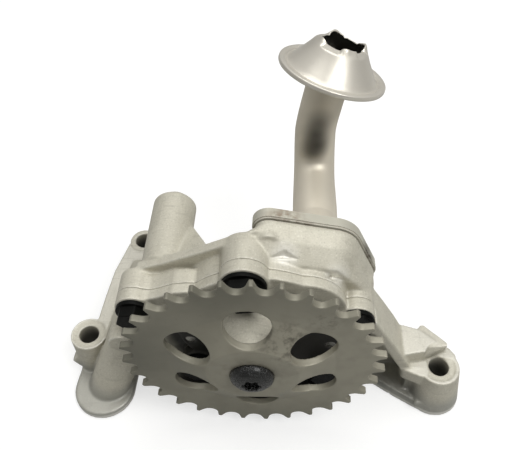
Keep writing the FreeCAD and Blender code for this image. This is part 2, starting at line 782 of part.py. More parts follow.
arm_bevel = [
    (right_boss_x - 1.0, parting - 9.0),
    (right_lug_x - 17.0, parting - 9.0),
    (right_lug_x - 17.0, right_lug_y - 2.3),
    (right_lug_x - 32.0, right_lug_y + 7.5),
    (right_boss_x - 1.0, right_lug_y + 12.4),
]
polygon(housing, "arm_bevel", "Z", mount_plane - 1.0, low_boss_z - low_boss_radius - 1.5, arm_bevel, True)
chamber_z = -eccentricity
hole(housing, "rotor_chamber", "Y", 0.0, chamber_z, parting - 1.0, parting + rotor_width,
     outer_rotor_radius + rotor_clearance)
hole(housing, "rear_bearing", "Y", 0.0, 0.0, parting, bearing_rear + 1.0, shaft_radius + bush_wall)
chamber_floor = parting + rotor_width
for name, start, finish in (("suction_port", -62.0, 62.0), ("pressure_port", 118.0, 242.0)):
    extrude(housing, name, "Y", chamber_floor - 0.5, chamber_floor + 2.4,
            lambda drawn: draw_sector(drawn, kidney_inner, kidney_outer, start, finish),
            True, 0.0, chamber_z)
hole(housing, "suction_bore", "Y", port_x, port_z, parting + rotor_width + 0.6, suction_face + 1.0,
     suction_bore_radius)
link = [
    (port_x - 14.2, port_z - 8.5),
    (port_x - 6.2, port_z + 2.0),
    (port_x + 3.8, port_z - 4.0),
    (port_x - 6.7, port_z - 16.0),
]
polygon(housing, "suction_link", "Y", chamber_floor + 0.1, chamber_floor + 2.4, link, True)
# The pressure pocket joins the pressure port, the outlet duct and the relief valve
pocket_left = -outer_rotor_radius - 6.5
pocket = [
    (pocket_left, chamber_z - 7.0),
    (-outer_rotor_radius + 1.0, chamber_z - 7.0),
    (-outer_rotor_radius + 1.0, chamber_z + 6.0),
    (pocket_left, chamber_z + 6.0),
]
polygon(housing, "pressure_pocket", "Y", parting - 1.0, chamber_floor + 2.4, pocket, True)
rear_link = [
    (pocket_left + 2.0, chamber_z - 4.0),
    (-kidney_inner - 3.0, chamber_z - 4.0),
    (-kidney_inner - 3.0, chamber_z + 4.0),
    (pocket_left + 2.0, chamber_z + 4.0),
]
polygon(housing, "pressure_link", "Y", chamber_floor + 0.1, chamber_floor + 2.4, rear_link, True)
hole(housing, "outlet_link", "X", parting + 6.0, left_boss_z - 14.0, left_boss_x - 0.5, pocket_left + 3.0, 4.0)
housing.cores.append(skewed_stock(
    "outlet_bore", "Z",
    (foot_x, foot_y + 0.6, mount_plane - 0.5, outlet_bore_radius),
    (left_boss_x + 0.5, parting + 2.5, left_boss_z - 13.0, outlet_bore_radius - 1.0)))
hole(housing, "seal_groove", "Z", foot_x, foot_y, mount_plane - 1.0, mount_plane + 2.6, seal_radius + seal_section + 0.1)
hole(housing, "valve_bore", "Y", barrel_x, barrel_z, valve_bore_front, valve_bore_rear, piston_radius)
hole(housing, "valve_feed", "Y", barrel_x, barrel_z, parting - 1.0, valve_bore_front + 0.5, feed_radius)
channel = [
    (barrel_x + 1.0, barrel_z + 2.0),
    (barrel_x + 1.0, barrel_z - 3.5),
    (pocket_left + 2.0, chamber_z - 1.0),
    (pocket_left + 2.0, chamber_z + 5.0),
]
polygon(housing, "pressure_channel", "Y", parting - 1.0, parting + 2.6, channel, True)
hole(housing, "relief_port", "X", valve_bore_front + 5.5, barrel_z, barrel_x - barrel_radius - 1.0, barrel_x, 2.0)
bolt_places = [
    ("left", left_boss_x, left_boss_z, small_bolt_radius, 9.0),
    ("top", top_boss_x, top_boss_z, large_bolt_radius, 10.5),
    ("right", right_boss_x, right_boss_z, small_bolt_radius, 10.0),
    ("low_left", low_boss_left_x, low_boss_z, small_bolt_radius, 10.0),
    ("low_right", low_boss_right_x, low_boss_z, small_bolt_radius, 10.0),
]
for side, x, z, radius, depth in bolt_places:
    hole(housing, "tapped_" + side, "Y", x, z, parting - 1.0, parting + depth, radius + 0.05)
ear_places = [
    ("left", ear_left_x, ear_left_z),
    ("right", ear_right_x, ear_right_z),
]
for side, x, z in ear_places:
    hole(housing, "stud_" + side, "Y", x, z, suction_face - 7.0, suction_face + 1.0, small_bolt_radius + 0.05)
dowel_places = [("left", drum_x - 28.6, drum_z - 10.4), ("right", drum_x + 28.6, drum_z - 10.4)]
dowel_radius = size("dowel_radius", 2.5)
dowel_reach = size("dowel_reach", 4.0)
for side, x, z in dowel_places:
    hole(housing, "dowel_hole_" + side, "Y", x, z, parting - 1.0, parting + dowel_reach + 0.3, dowel_radius)
lug_places = [
    ("left", left_lug_x, left_lug_y),
    ("rear", rear_lug_x, rear_lug_y),
    ("right", right_lug_x, right_lug_y),
]
for side, x, y in lug_places:
    hole(housing, "lug_hole_" + side, "Z", x, y, mount_plane - 1.0, pad_top + 1.0, lug_hole_radius)
    hole(housing, "spot_face_" + side, "Z", x, y, lug_top - 0.6, pad_top + 1.0, lug_hole_radius + 2.9)

housing_node = cast(housing)

# Front cover: thin plate with bolt bosses and the front shaft bearing
cover = make_body("front_cover")
plate_front = boss_front + 0.9
rod(cover, "plate", "Y", drum_x, drum_z, plate_front, parting, drum_radius)
rod(cover, "top_body_cover", "Y", body_x, body_z, plate_front, parting, body_radius)
cover_side = side_web[:-3] + [
    (left_boss_x + 34.0, left_boss_z - 5.0),
    (left_boss_x + 14.6, left_boss_z - 7.6),
    (left_boss_x + 1.0, left_boss_z - 7.0),
]
polygon(cover, "side_plate", "Y", plate_front, parting, cover_side)
for side, x, z, radius in (("left",) + left_circle, ("top",) + top_circle, ("right",) + right_circle):
    rod(cover, "boss_" + side, "Y", x, z, boss_front, parting, radius)
for side, x in (("low_left", low_boss_left_x), ("low_right", low_boss_right_x)):
    rod(cover, "boss_" + side, "Y", x, low_boss_z, boss_front, parting, low_boss_radius)
cover_snout_front = size("cover_snout_front", -1.4)
cone_rod(cover, "snout", 0.0, 0.0, cover_snout_front, plate_front, shaft_radius + 5.0, shaft_radius + 8.0)
for side, x, z, radius, depth in bolt_places:
    hole(cover, "bolt_hole_" + side, "Y", x, z, boss_front - 1.0, parting + 1.0, radius + 0.3)
for side, x, z in dowel_places:
    hole(cover, "dowel_hole_" + side, "Y", x, z, parting - dowel_reach - 0.3, parting + 1.0, dowel_radius)
hole(cover, "front_bearing", "Y", 0.0, 0.0, cover_snout_front - 1.0, parting + 1.0, shaft_radius + bush_wall)

# Bushes and dowels
def make_bush(label, low, high):
    bush = make_body(label)
    rod(bush, label + "_wall", "Y", 0.0, 0.0, low, high, shaft_radius + bush_wall)
    hole(bush, label + "_bore", "Y", 0.0, 0.0, low - 1.0, high + 1.0, shaft_radius + shaft_clearance)
    return bush


front_bush = make_bush("front_bush", cover_snout_front + 0.4, parting - 0.4)
rear_bush = make_bush("rear_bush", parting + rotor_width + 0.2, bearing_rear - 0.4)
dowel_pins = []
for side, x, z in dowel_places:
    pin = make_body("dowel_" + side)
    rod(pin, "dowel_pin_" + side, "Y", x, z, parting - dowel_reach, parting + dowel_reach, dowel_radius)
    dowel_pins.append(pin)


def flange_bolt(label, x, z, shank, hexagon, flange, head, face, reach, outward):
    # A hexagon head on a flange; the head stands on the face and points outward along Y
    bolt = make_body(label)
    near = bolt_flange_height * outward
    far = head * outward
    low = min(face, face + near, key=float)
    high = max(face, face + near, key=float)
    rod(bolt, label + "_flange", "Y", x, z, low, high, flange)
    tip = face - reach * outward
    rod(bolt, label + "_shank", "Y", x, z, min(tip, face, key=float), max(tip, face, key=float), shank)
    drawn = make_sketch(bolt, label + "_hex", "Y", max(face, face + far, key=float), x, z)
    corners = []
    for i in range(6):
        turn_by = math.radians(60.0 * i + 12.0)
        corners.append((hexagon * math.cos(turn_by) * 1.1547, hexagon * math.sin(turn_by) * 1.1547))
    draw_polygon(drawn, corners)
    pad = bolt.newObject("PartDesign::Pad", label + "_head")
    pad.Profile = drawn
    bind(pad, "Length", head)
    pad.Refine = False
    socket = make_sketch(bolt, label + "_dish", "Y", face + far, x, z)
    draw_circle(socket, hexagon * 0.62)
    dish = bolt.newObject("PartDesign::Pocket", label + "_cup")
    dish.Profile = socket
    dish.Reversed = outward < 0
    bind(dish, "Length", head * 0.2)
    dish.Refine = False
    return bolt


small_bolts = []
for side, x, z, radius, depth in bolt_places:
    if side == "top":
        large_bolt = flange_bolt("cover_bolt_large", x, z, large_bolt_radius, large_head_radius * 0.93,
                                 large_flange_radius, large_head_height, boss_front,
                                 parting - boss_front + depth - 1.0, -1.0)
    else:
        small_bolts.append(flange_bolt("bolt_" + side, x, z, small_bolt_radius, small_head_radius * 0.93,
                                       small_flange_radius, small_head_height, boss_front,
                                       parting - boss_front + depth - 1.0, -1.0))

# Drive shaft with a flatted spigot, key slot and threaded nose
shaft = make_body("drive_shaft")
hub_rear = ring_thickness / 2.0 - dish_depth
hub_front = hub_rear - ring_thickness
rod(shaft, "journal", "Y", 0.0, 0.0, hub_rear, shaft_rear, shaft_radius)
spigot_front = hub_front + 0.3
spigot_outline = [
    (-spigot_radius, -spigot_flat),
    (spigot_radius, -spigot_flat),
    (spigot_radius, spigot_flat),
    (-spigot_radius, spigot_flat),
]
rod(shaft, "spigot", "Y", 0.0, 0.0, spigot_front, hub_rear, spigot_radius)
for side, sign in (("upper", 1.0), ("lower", -1.0)):
    flat = [
        (-spigot_radius - 1.0, spigot_flat * sign),
        (spigot_radius + 1.0, spigot_flat * sign),
        (spigot_radius + 1.0, (spigot_radius + 1.0) * sign),
        (-spigot_radius - 1.0, (spigot_radius + 1.0) * sign),
    ]
    polygon(shaft, "flat_" + side, "Y", spigot_front - 1.0, hub_rear, flat, True)
hole(shaft, "nose_thread", "Y", 0.0, 0.0, spigot_front - 1.0, hub_front + centre_bolt_length + 0.5,
     centre_bolt_radius + 0.05)
key_low = parting + 1.0
key_high = parting + rotor_width - 1.0
slot = [
    (-key_width / 2.0, shaft_radius - 1.8),
    (key_width / 2.0, shaft_radius - 1.8),
    (key_width / 2.0, shaft_radius + 1.0),
    (-key_width / 2.0, shaft_radius + 1.0),
]
polygon(shaft, "key_slot", "Y", key_low, key_high, slot, True)
key = make_body("shaft_key")
key_outline = [
    (-key_width / 2.0 + 0.02, shaft_radius - 1.78),
    (key_width / 2.0 - 0.02, shaft_radius - 1.78),
    (key_width / 2.0 - 0.02, shaft_radius + 1.2),
    (-key_width / 2.0 + 0.02, shaft_radius + 1.2),
]
polygon(key, "key_bar", "Y", key_low + 0.05, key_high - 0.05, key_outline)

# Sprocket: dished plate, then tooth gaps and windows in circular patterns
sprocket = make_body("drive_sprocket")
half = ring_thickness / 2.0
profile = [
    (spigot_radius - 2.6, hub_front),
    (dish_inner_radius, hub_front),
    (dish_outer_radius, -half),
    (tip_radius, -half),
    (tip_radius, half),
    (dish_outer_radius - 0.9, half),
    (dish_inner_radius - 0.9, hub_rear),
    (spigot_radius - 2.6, hub_rear),
]
turn(sprocket, "dished_plate", profile)
gap_sketch = make_sketch(sprocket, "gap_sketch", "Y", -half - 0.5)
seat = math.radians(float(tooth_flank_angle))
across = float(roller_radius) * math.cos(seat)
rise = float(roller_radius) * math.sin(seat)
outward = (float(tip_radius) - float(pitch_radius)) + 1.5
spread = across + (outward + rise) * math.tan(seat)
centre = Vec(0, float(pitch_radius), 0)
roller = Part.Circle(centre, Vec(0, 0, 1), float(roller_radius))
gap_sketch.addGeometry(Part.ArcOfCircle(roller, math.pi + seat, 2.0 * math.pi - seat), False)
left_low = Vec(-across, float(pitch_radius) - rise, 0)
right_low = Vec(across, float(pitch_radius) - rise, 0)
left_high = Vec(-spread, float(pitch_radius) + outward, 0)
right_high = Vec(spread, float(pitch_radius) + outward, 0)
gap_sketch.addGeometry(Part.LineSegment(right_low, right_high), False)
gap_sketch.addGeometry(Part.LineSegment(right_high, left_high), False)
gap_sketch.addGeometry(Part.LineSegment(left_high, left_low), False)
gap_sketch.addConstraint(Sketcher.Constraint("Coincident", 0, 2, 1, 1))
gap_sketch.addConstraint(Sketcher.Constraint("Coincident", 1, 2, 2, 1))
gap_sketch.addConstraint(Sketcher.Constraint("Coincident", 2, 2, 3, 1))
gap_sketch.addConstraint(Sketcher.Constraint("Coincident", 3, 2, 0, 1))
gap_sketch.addConstraint(Sketcher.Constraint("Horizontal", 2))
pin_radius(gap_sketch, 0, roller_radius)
pin_point(gap_sketch, 0, 3, 0.0, pitch_radius)
gap = sprocket.newObject("PartDesign::Pocket", "tooth_gap")
gap.Profile = gap_sketch
bind(gap, "Length", ring_thickness + 1.0)
gap.Refine = False
polar(sprocket, "tooth_gaps", [gap], "Y", tooth_count)
gullet_phase = size("gullet_phase", 3.28)
window_phase = size("window_phase", 93.6)
gap_turn = math.fmod(90.0 - float(gullet_phase), 360.0 / tooth_count)
window_lean = math.radians(float(window_phase) - 90.0 + gap_turn)
window_x = -window_place * math.sin(window_lean)
window_z = window_place * math.cos(window_lean)


def draw_window(drawn):
    middle = Vec(float(window_x), float(window_z), 0)
    drawn.addGeometry(Part.Circle(middle, Vec(0, 0, 1), float(window_radius)), False)
    pin_radius(drawn, 0, window_radius)
    pin_point(drawn, 0, 3, window_x, window_z)


window = extrude(sprocket, "window", "Y", hub_front - 1.0, half + 1.0, draw_window, True)
polar(sprocket, "windows", [window], "Y", window_count)

def draw_flatted_bore(drawn):
    radius = float(spigot_radius) + 0.02
    height = float(spigot_flat) + 0.02
    start = math.asin(height / radius)
    circle = Part.Circle(Vec(0, 0, 0), Vec(0, 0, 1), radius)
    drawn.addGeometry(Part.ArcOfCircle(circle, -start, start), False)
    drawn.addGeometry(Part.ArcOfCircle(circle, math.pi - start, math.pi + start), False)
    reach = radius * math.cos(start)
    drawn.addGeometry(Part.LineSegment(Vec(reach, height, 0), Vec(-reach, height, 0)), False)
    drawn.addGeometry(Part.LineSegment(Vec(-reach, -height, 0), Vec(reach, -height, 0)), False)
    drawn.addConstraint(Sketcher.Constraint("Coincident", 0, 2, 2, 1))
    drawn.addConstraint(Sketcher.Constraint("Coincident", 2, 2, 1, 1))
    drawn.addConstraint(Sketcher.Constraint("Coincident", 1, 2, 3, 1))
    drawn.addConstraint(Sketcher.Constraint("Coincident", 3, 2, 0, 1))
    drawn.addConstraint(Sketcher.Constraint("Horizontal", 2))
    drawn.addConstraint(Sketcher.Constraint("Horizontal", 3))
    for geo in (0, 1):
        pin_radius(drawn, geo, spigot_radius + 0.02)
        drawn.addConstraint(Sketcher.Constraint("Coincident", geo, 3, -1, 1))
    for geo, value in ((2, spigot_flat + 0.02), (3, -spigot_flat - 0.02)):
        index = drawn.addConstraint(Sketcher.Constraint("DistanceY", -1, 1, geo, 1, float(value)))
        drawn.setExpression("Constraints[%d]" % index, value.text)


flatted = extrude(sprocket, "flatted_bore", "Y", hub_front - 1.0, hub_rear + 1.0, draw_flatted_bore, True)
bore_sketch = flatted.Profile[0]
bore_sketch.AttachmentOffset = FreeCAD.Placement(
    bore_sketch.AttachmentOffset.Base, FreeCAD.Rotation(Vec(0, 0, 1), gap_turn))
sprocket.Placement = FreeCAD.Placement(Vec(0, 0, 0), FreeCAD.Rotation(Vec(0, 1, 0), gap_turn))

# Centre bolt: domed head with a six-lobed socket
centre_bolt = make_body("sprocket_bolt")
dome = [
    (0.0, hub_front - bolt_head_height),
    (bolt_head_radius * 0.42, hub_front - bolt_head_height * 0.96),
    (bolt_head_radius * 0.72, hub_front - bolt_head_height * 0.78),
    (bolt_head_radius * 0.93, hub_front - bolt_head_height * 0.47),
    (bolt_head_radius, hub_front - bolt_head_height * 0.18),
    (bolt_head_radius, hub_front),
    (centre_bolt_radius, hub_front),
    (centre_bolt_radius, hub_front + centre_bolt_length),
    (0.0, hub_front + centre_bolt_length),
]
turn(centre_bolt, "domed_screw", dome)
hole(centre_bolt, "socket_core", "Y", 0.0, 0.0, hub_front - bolt_head_height - 1.0, hub_front - 1.4, 2.7)
lobe = hole(centre_bolt, "socket_lobe", "Y", 2.7, 0.0, hub_front - bolt_head_height - 1.0, hub_front - 1.4, 0.85)
polar(centre_bolt, "socket_lobes", [lobe], "Y", 6)

# Rotor set: the lobes of the outer rotor are round, and the inner rotor is their envelope
rotor_front = parting + rotor_clearance
rotor_rear = parting + rotor_width - rotor_clearance
outer_lobes = inner_lobes + 1


def part_rod(label, x, z, low, high, radius):
    made = doc.addObject("Part::Cylinder", label)
    bind(made, "Radius", radius)
    bind(made, "Height", high - low)
    made.Placement = FreeCAD.Placement(Vec(x, high, z), FreeCAD.Rotation(Vec(1, 0, 0), 90))
    for letter, value in (("x", x), ("y", high), ("z", z)):
        if isinstance(value, Size):
            made.setExpression("Placement.Base." + letter, value.text)
    return made


disc = part_rod("outer_disc", 0.0, chamber_z, rotor_front, rotor_rear, outer_rotor_radius)
cavity_radius = lobe_circle + 2.0 * eccentricity - lobe_radius + 0.1
cavity = part_rod("outer_cavity", 0.0, chamber_z, rotor_front - 1.0, rotor_rear + 1.0, cavity_radius)
lobes = []
for i in range(outer_lobes):
    angle = 90.0 + 360.0 * i / outer_lobes
    x = lobe_circle * math.cos(math.radians(angle))
    z = lobe_circle * math.sin(math.radians(angle)) + chamber_z
    lobes.append(part_rod("outer_lobe_%d" % i, x, z, rotor_front - 2.0, rotor_rear + 2.0, lobe_radius))
lobe_ring = doc.addObject("Part::MultiFuse", "lobe_ring")
lobe_ring.Shapes = lobes
star = doc.addObject("Part::Cut", "cavity_star")
star.Base = cavity
star.Tool = lobe_ring
outer_rotor = doc.addObject("Part::Cut", "outer_rotor")
outer_rotor.Label = "outer_rotor"
outer_rotor.Base = disc
outer_rotor.Tool = star


def envelope(steps):
    # Inner rotor profile: the path of a lobe's centre, moved inward by the lobe's radius
    gap_size = float(rotor_clearance)
    points = []
    for i in range(steps):
        t = 2.0 * math.pi * i / steps
        n = outer_lobes
        cx = lobe_circle * math.cos(t) + eccentricity * math.cos(n * t)
        cz = lobe_circle * math.sin(t) + eccentricity * math.sin(n * t)
        dx = -lobe_circle * math.sin(t) - n * eccentricity * math.sin(n * t)
        dz = lobe_circle * math.cos(t) + n * eccentricity * math.cos(n * t)
        length = math.hypot(dx, dz)
        inward = lobe_radius + gap_size
        points.append((cx - dz / length * inward, cz + dx / length * inward))
    return points


rotor_points = [Vec(x, float(rotor_front), z) for x, z in envelope(inner_lobes * 10)]
rotor_curve = Part.BSplineCurve()
rotor_curve.interpolate(Points=rotor_points, PeriodicFlag=True)
rotor_face = Part.Face(Part.Wire([rotor_curve.toShape()]))
rotor_solid = rotor_face.extrude(Vec(0, float(rotor_rear - rotor_front), 0))
bore = Part.makeCylinder(float(shaft_radius) + 0.01, 40.0, Vec(0, float(parting) - 5.0, 0), Vec(0, 1, 0))
keyway = Part.makeBox(float(key_width), 40.0, 3.4,
                      Vec(-float(key_width) / 2.0, float(parting) - 5.0, float(shaft_radius) - 2.0))
rotor_solid = rotor_solid.cut(bore).cut(keyway)
inner_rotor = doc.addObject("Part::Feature", "inner_rotor")
inner_rotor.Label = "inner_rotor"
inner_rotor.Shape = rotor_solid
inner_rotor.Placement = FreeCAD.Placement(Vec(0, 0, 0), FreeCAD.Rotation(Vec(0, 1, 0), 0))

# Relief valve: cup piston, spring and seat
piston = make_body("relief_piston")
piston_front = valve_bore_front + 0.9
rod(piston, "piston_skin", "Y", barrel_x, barrel_z, piston_front, piston_front + piston_length,
    piston_radius - piston_clearance)
hole(piston, "piston_cup", "Y", barrel_x, barrel_z, piston_front + 3.0, piston_front + piston_length + 1.0,
     piston_radius - piston_wall)
rod(piston, "piston_nose", "Y", barrel_x, barrel_z, valve_bore_front + 0.1, piston_front, piston_radius - 2.0)
seat_body = make_body("spring_seat")
seat_low = valve_bore_rear - 2.4
rod(seat_body, "seat_disc", "Y", barrel_x, barrel_z, seat_low, valve_bore_rear, piston_radius)
rod(seat_body, "seat_spigot", "Y", barrel_x, barrel_z, seat_low - 3.0, seat_low, spring_radius - spring_wire - 0.4)
spring_low = piston_front + 3.0
spring_length = seat_low - spring_low
coil = Part.makeHelix(float(spring_length - spring_wire * 2.0) / spring_turns,
                      float(spring_length - spring_wire * 2.0), float(spring_radius))
wire_corners = []
for i in range(7):
    around = math.radians(60.0 * i)
    wire_corners.append(Vec(float(spring_radius) + float(spring_wire) * math.cos(around), 0,
                            float(spring_wire) * math.sin(around)))
wire_ring = Part.makePolygon(wire_corners)
spring_solid = Part.Wire(coil.Edges).makePipeShell([wire_ring], True, True)
relief_spring = doc.addObject("Part::Feature", "relief_spring")
relief_spring.Label = "relief_spring"
relief_spring.Shape = spring_solid
relief_spring.Placement = FreeCAD.Placement(
    Vec(float(barrel_x), float(spring_low + spring_wire), float(barrel_z)), FreeCAD.Rotation(Vec(1, 0, 0), -90))

# Suction side: gasket, flange plate, bolts, collar and bent tube
gasket = make_body("flange_gasket")
port_outline(gasket, "gasket_sheet", suction_face, suction_face + gasket_thickness, -0.4)
hole(gasket, "gasket_bore", "Y", port_x, port_z, suction_face - 1.0, suction_face + 2.0, suction_bore_radius + 0.4)
for side, x, z in ear_places:
    hole(gasket, "gasket_hole_" + side, "Y", x, z, suction_face - 1.0, suction_face + 2.0, small_bolt_radius + 0.3)
plate_low = suction_face + gasket_thickness
plate_high = plate_low + flange_thickness
suction_flange = make_body("suction_flange")
port_outline(suction_flange, "flange_plate", plate_low, plate_high, 0.0)
hole(suction_flange, "tube_seat", "Y", port_x, port_z, plate_low + 1.2, plate_high + 1.0, tube_radius + 0.03)
hole(suction_flange, "oil_bore", "Y", port_x, port_z, plate_low - 1.0, plate_high, suction_bore_radius)
head_flare = small_bolt_radius + 2.6
flange_bolt_list = []
for side, x, z in ear_places:
    hole(suction_flange, "flange_hole_" + side, "Y", x, z, plate_low - 1.0, plate_high + 1.0,
         small_bolt_radius + 0.3)
    turn(suction_flange, "countersink_" + side, [
        (0.0, plate_high + 1.0),
        (head_flare + 1.1, plate_high + 1.0),
        (small_bolt_radius + 0.1, plate_high - 2.6),
        (0.0, plate_high - 2.6),
    ], True, 0.0, x, z)
    screw = make_body("flange_screw_" + side)
    turn(screw, "flush_screw_" + side, [
        (0.0, plate_high - 0.1),
        (head_flare - 0.15, plate_high - 0.1),
        (small_bolt_radius - 0.02, plate_high - 2.6),
        (small_bolt_radius - 0.02, suction_face - 6.2),
        (0.0, suction_face - 6.2),
    ], False, 0.0, x, z)
    hole(screw, "screw_socket_" + side, "Y", x, z, plate_high - 2.0, plate_high + 1.0, small_bolt_radius * 0.7)
    flange_bolt_list.append(screw)
collar = make_body("tube_collar")
cone_rod(collar, "collar_ring", port_x, port_z, plate_high, plate_high + 9.0, tube_radius + 1.3, tube_radius + 0.5)
hole(collar, "collar_bore", "Y", port_x, port_z, plate_high - 1.0, plate_high + 10.0, tube_radius + 0.03)

tube_start = Vec(float(port_x), float(plate_low) + 1.25, float(port_z))
corner = Vec(float(port_x), float(corner_y), float(port_z))
tube_finish = Vec(float(strainer_x - tube_shift), float(strainer_y), float(strainer_z) + 0.4)
first = (corner - tube_start).normalize()
second = (tube_finish - corner).normalize()
bend_turn = first.getAngle(second)
tangent = float(tube_bend) * math.tan(bend_turn / 2.0)
arc_start = corner - first * tangent
arc_finish = corner + second * tangent
inward = (second - first).normalize()
arc_middle = corner + inward * (float(tube_bend) / math.cos(bend_turn / 2.0) - float(tube_bend))
path = Part.Wire([
    Part.LineSegment(tube_start, arc_start).toShape(),
    Part.Arc(arc_start, arc_middle, arc_finish).toShape(),
    Part.LineSegment(arc_finish, tube_finish + second * 4.0).toShape(),
])
outer_ring = Part.Wire([Part.makeCircle(float(tube_radius), tube_start, first)])
inner_ring = Part.Wire([Part.makeCircle(float(tube_radius - tube_wall), tube_start, first)])
tube_solid = path.makePipeShell([outer_ring], True, False).cut(path.makePipeShell([inner_ring], True, False))
lean = FreeCAD.Rotation(Vec(0, 1, 0), float(lean_x)).multiply(FreeCAD.Rotation(Vec(1, 0, 0), -float(lean_y)))
strainer_place = FreeCAD.Placement(Vec(float(strainer_x), float(strainer_y), float(strainer_z)), lean)
trim = Part.makeCylinder(40.0, 30.0, Vec(0, 0, 0.35))
trim.Placement = strainer_place
tube_solid = tube_solid.cut(trim)
suction_tube = doc.addObject("Part::Feature", "suction_tube")
suction_tube.Label = "suction_tube"
suction_tube.Shape = tube_solid

# Strainer: base plate, pressed bell and mesh, on one leaning axis


def spin(label, points):
    # A profile of (radius, height) turned about the strainer's own axis
    made = make_body(label)
    drawn = make_sketch(made, label + "_profile", "Y", 0.0)
    draw_polygon(drawn, points)
    feature = made.newObject("PartDesign::Revolution", label + "_turned")
    feature.Profile = drawn
    feature.ReferenceAxis = (drawn, ["V_Axis"])
    feature.Angle = 360.0
    feature.Refine = False
    return made


base = spin("strainer_base", [
    (0.0, -0.6),
    (tube_radius + 4.6, -0.6),
    (tube_radius + 6.0, 0.0),
    (brim_radius - 1.1, 0.0),
    (brim_radius - 1.1, sheet_thickness),
    (tube_radius + 5.6, sheet_thickness),
    (tube_radius + 4.2, sheet_thickness - 0.6),
    (0.0, sheet_thickness - 0.6),
])
back = strainer_place.inverse().Rotation.multVec(second)
entry = strainer_place.inverse().multVec(tube_finish)
bore_cut = base.newObject("PartDesign::SubtractiveCylinder", "base_tube_hole")
for found in base.Origin.OriginFeatures:
    if found.Role == "XY_Plane":
        bore_cut.AttachmentSupport = [(found, "")]
bore_cut.MapMode = "FlatFace"
bore_cut.AttachmentOffset = FreeCAD.Placement(entry - back * 6.0, FreeCAD.Rotation(Vec(0, 0, 1), back))
bind(bore_cut, "Radius", tube_radius + 0.04)
bore_cut.Height = 12.0
bore_cut.Refine = False
bell = spin("strainer_bell", [
    (brim_radius - 3.0, -0.7),
    (brim_radius, -0.7),
    (brim_radius, 0.5),
    (brim_radius - 0.5, 0.7),
    (brim_radius, 0.9),
    (brim_radius, 1.7),
    (cone_base_radius + 1.2, 1.7),
    (cone_base_radius, 2.4),
    (mouth_radius + 0.6, bell_height - 0.8),
    (mouth_radius + 0.6, bell_height),
    (mouth_radius - 0.5, bell_height),
    (mouth_radius - 0.5, bell_height - 1.0),
    (cone_base_radius - 1.1, 2.1),
    (cone_base_radius - 1.1, sheet_thickness + 0.02),
    (brim_radius - 1.05, sheet_thickness + 0.02),
    (brim_radius - 1.05, -0.04),
    (brim_radius - 3.0, -0.04),
])
notch_wide = size("notch_wide", 5.0)
notch_deep = size("notch_deep", 1.5)
notch = polygon(bell, "mouth_notch", "X", 2.0, mouth_radius + 4.0, [
    (-notch_wide / 2.0, bell_height + 1.0),
    (-notch_wide / 2.0 + 1.4, bell_height - notch_deep),
    (notch_wide / 2.0 - 1.4, bell_height - notch_deep),
    (notch_wide / 2.0, bell_height + 1.0),
], True)
polar(bell, "mouth_notches", [notch], "Z", 4)
mesh = make_body("strainer_mesh")
mesh_low = sheet_thickness + 0.03
rod(mesh, "mesh_disc", "Z", 0.0, 0.0, mesh_low, mesh_low + 0.6, cone_base_radius - 1.3)


def mesh_opening(name, station, wide):
    corners = [
        (station - wide, -wide),
        (station + wide, -wide),
        (station + wide, wide),
        (station - wide, wide),
    ]
    return polygon(mesh, name, "Z", mesh_low - 1.0, mesh_low + 1.6, corners, True)


polar(mesh, "mesh_row_a", [mesh_opening("mesh_opening_a", 6.0, 1.6)], "Z", 6)
polar(mesh, "mesh_row_b", [mesh_opening("mesh_opening_b", 12.0, 1.9)], "Z", 12)
for strainer_part in (base, bell, mesh):
    strainer_part.Placement = strainer_place

# Outlet seal in the foot's groove
seal_height = mount_plane + seal_section + 0.05
seal_outline = []
for i in range(8):
    around = math.radians(45.0 * i + 22.5)
    seal_outline.append((seal_radius + seal_section * math.cos(around), seal_height + seal_section * math.sin(around)))
seal = spin("outlet_seal", seal_outline)
seal.Placement = FreeCAD.Placement(Vec(foot_x, foot_y, 0), FreeCAD.Rotation())
for letter, value in (("x", foot_x), ("y", foot_y)):
    seal.setExpression("Placement.Base." + letter, value.text)

doc.recompute()


def gather(label, members):
    # Like parts share one node as separate solids
    group = doc.addObject("Part::Compound", label)
    group.Label = label
    group.Links = members
    return group


cover_bolts = gather("cover_bolts_small", small_bolts)
dowels = gather("cover_dowels", dowel_pins)
flange_bolts = gather("flange_bolts", flange_bolt_list)
doc.recompute()

nodes = [
    housing_node, cover, large_bolt, cover_bolts, dowels, front_bush, rear_bush, shaft, key, sprocket, centre_bolt,
    inner_rotor, outer_rotor, piston, relief_spring, seat_body, gasket, suction_flange, flange_bolts, collar,
    suction_tube, base, bell, mesh, seal,
]
problems = []
for made in doc.Objects:
    if "Invalid" in made.State or "Error" in made.State:
        problems.append("%s is in state %s" % (made.Name, made.State))
for node in nodes:
    if node.Shape.isNull() or not node.Shape.isValid() or not node.Shape.Solids:
        problems.append("%s has no valid solid" % node.Label)
if problems:
    raise RuntimeError("; ".join(problems))
for node in nodes:
    node.Shape.exportStep("parts/%s.step" % node.Label)
    box = node.Shape.BoundBox
    print("%-20s solids %d volume %9.1f  x %7.2f %7.2f  y %7.2f %7.2f  z %7.2f %7.2f" % (
        node.Label, len(node.Shape.Solids), node.Shape.Volume, box.XMin, box.XMax, box.YMin, box.YMax,
        box.ZMin, box.ZMax))
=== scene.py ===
"""Chain-driven engine oil pump: castings, sprocket, strainer and studio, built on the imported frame."""

import json
from math import cos, pi, radians, sin

import bmesh
import bpy
import numpy as np
from bpy.props import FloatProperty, FloatVectorProperty, IntProperty, PointerProperty
from mathutils import Matrix, Vector

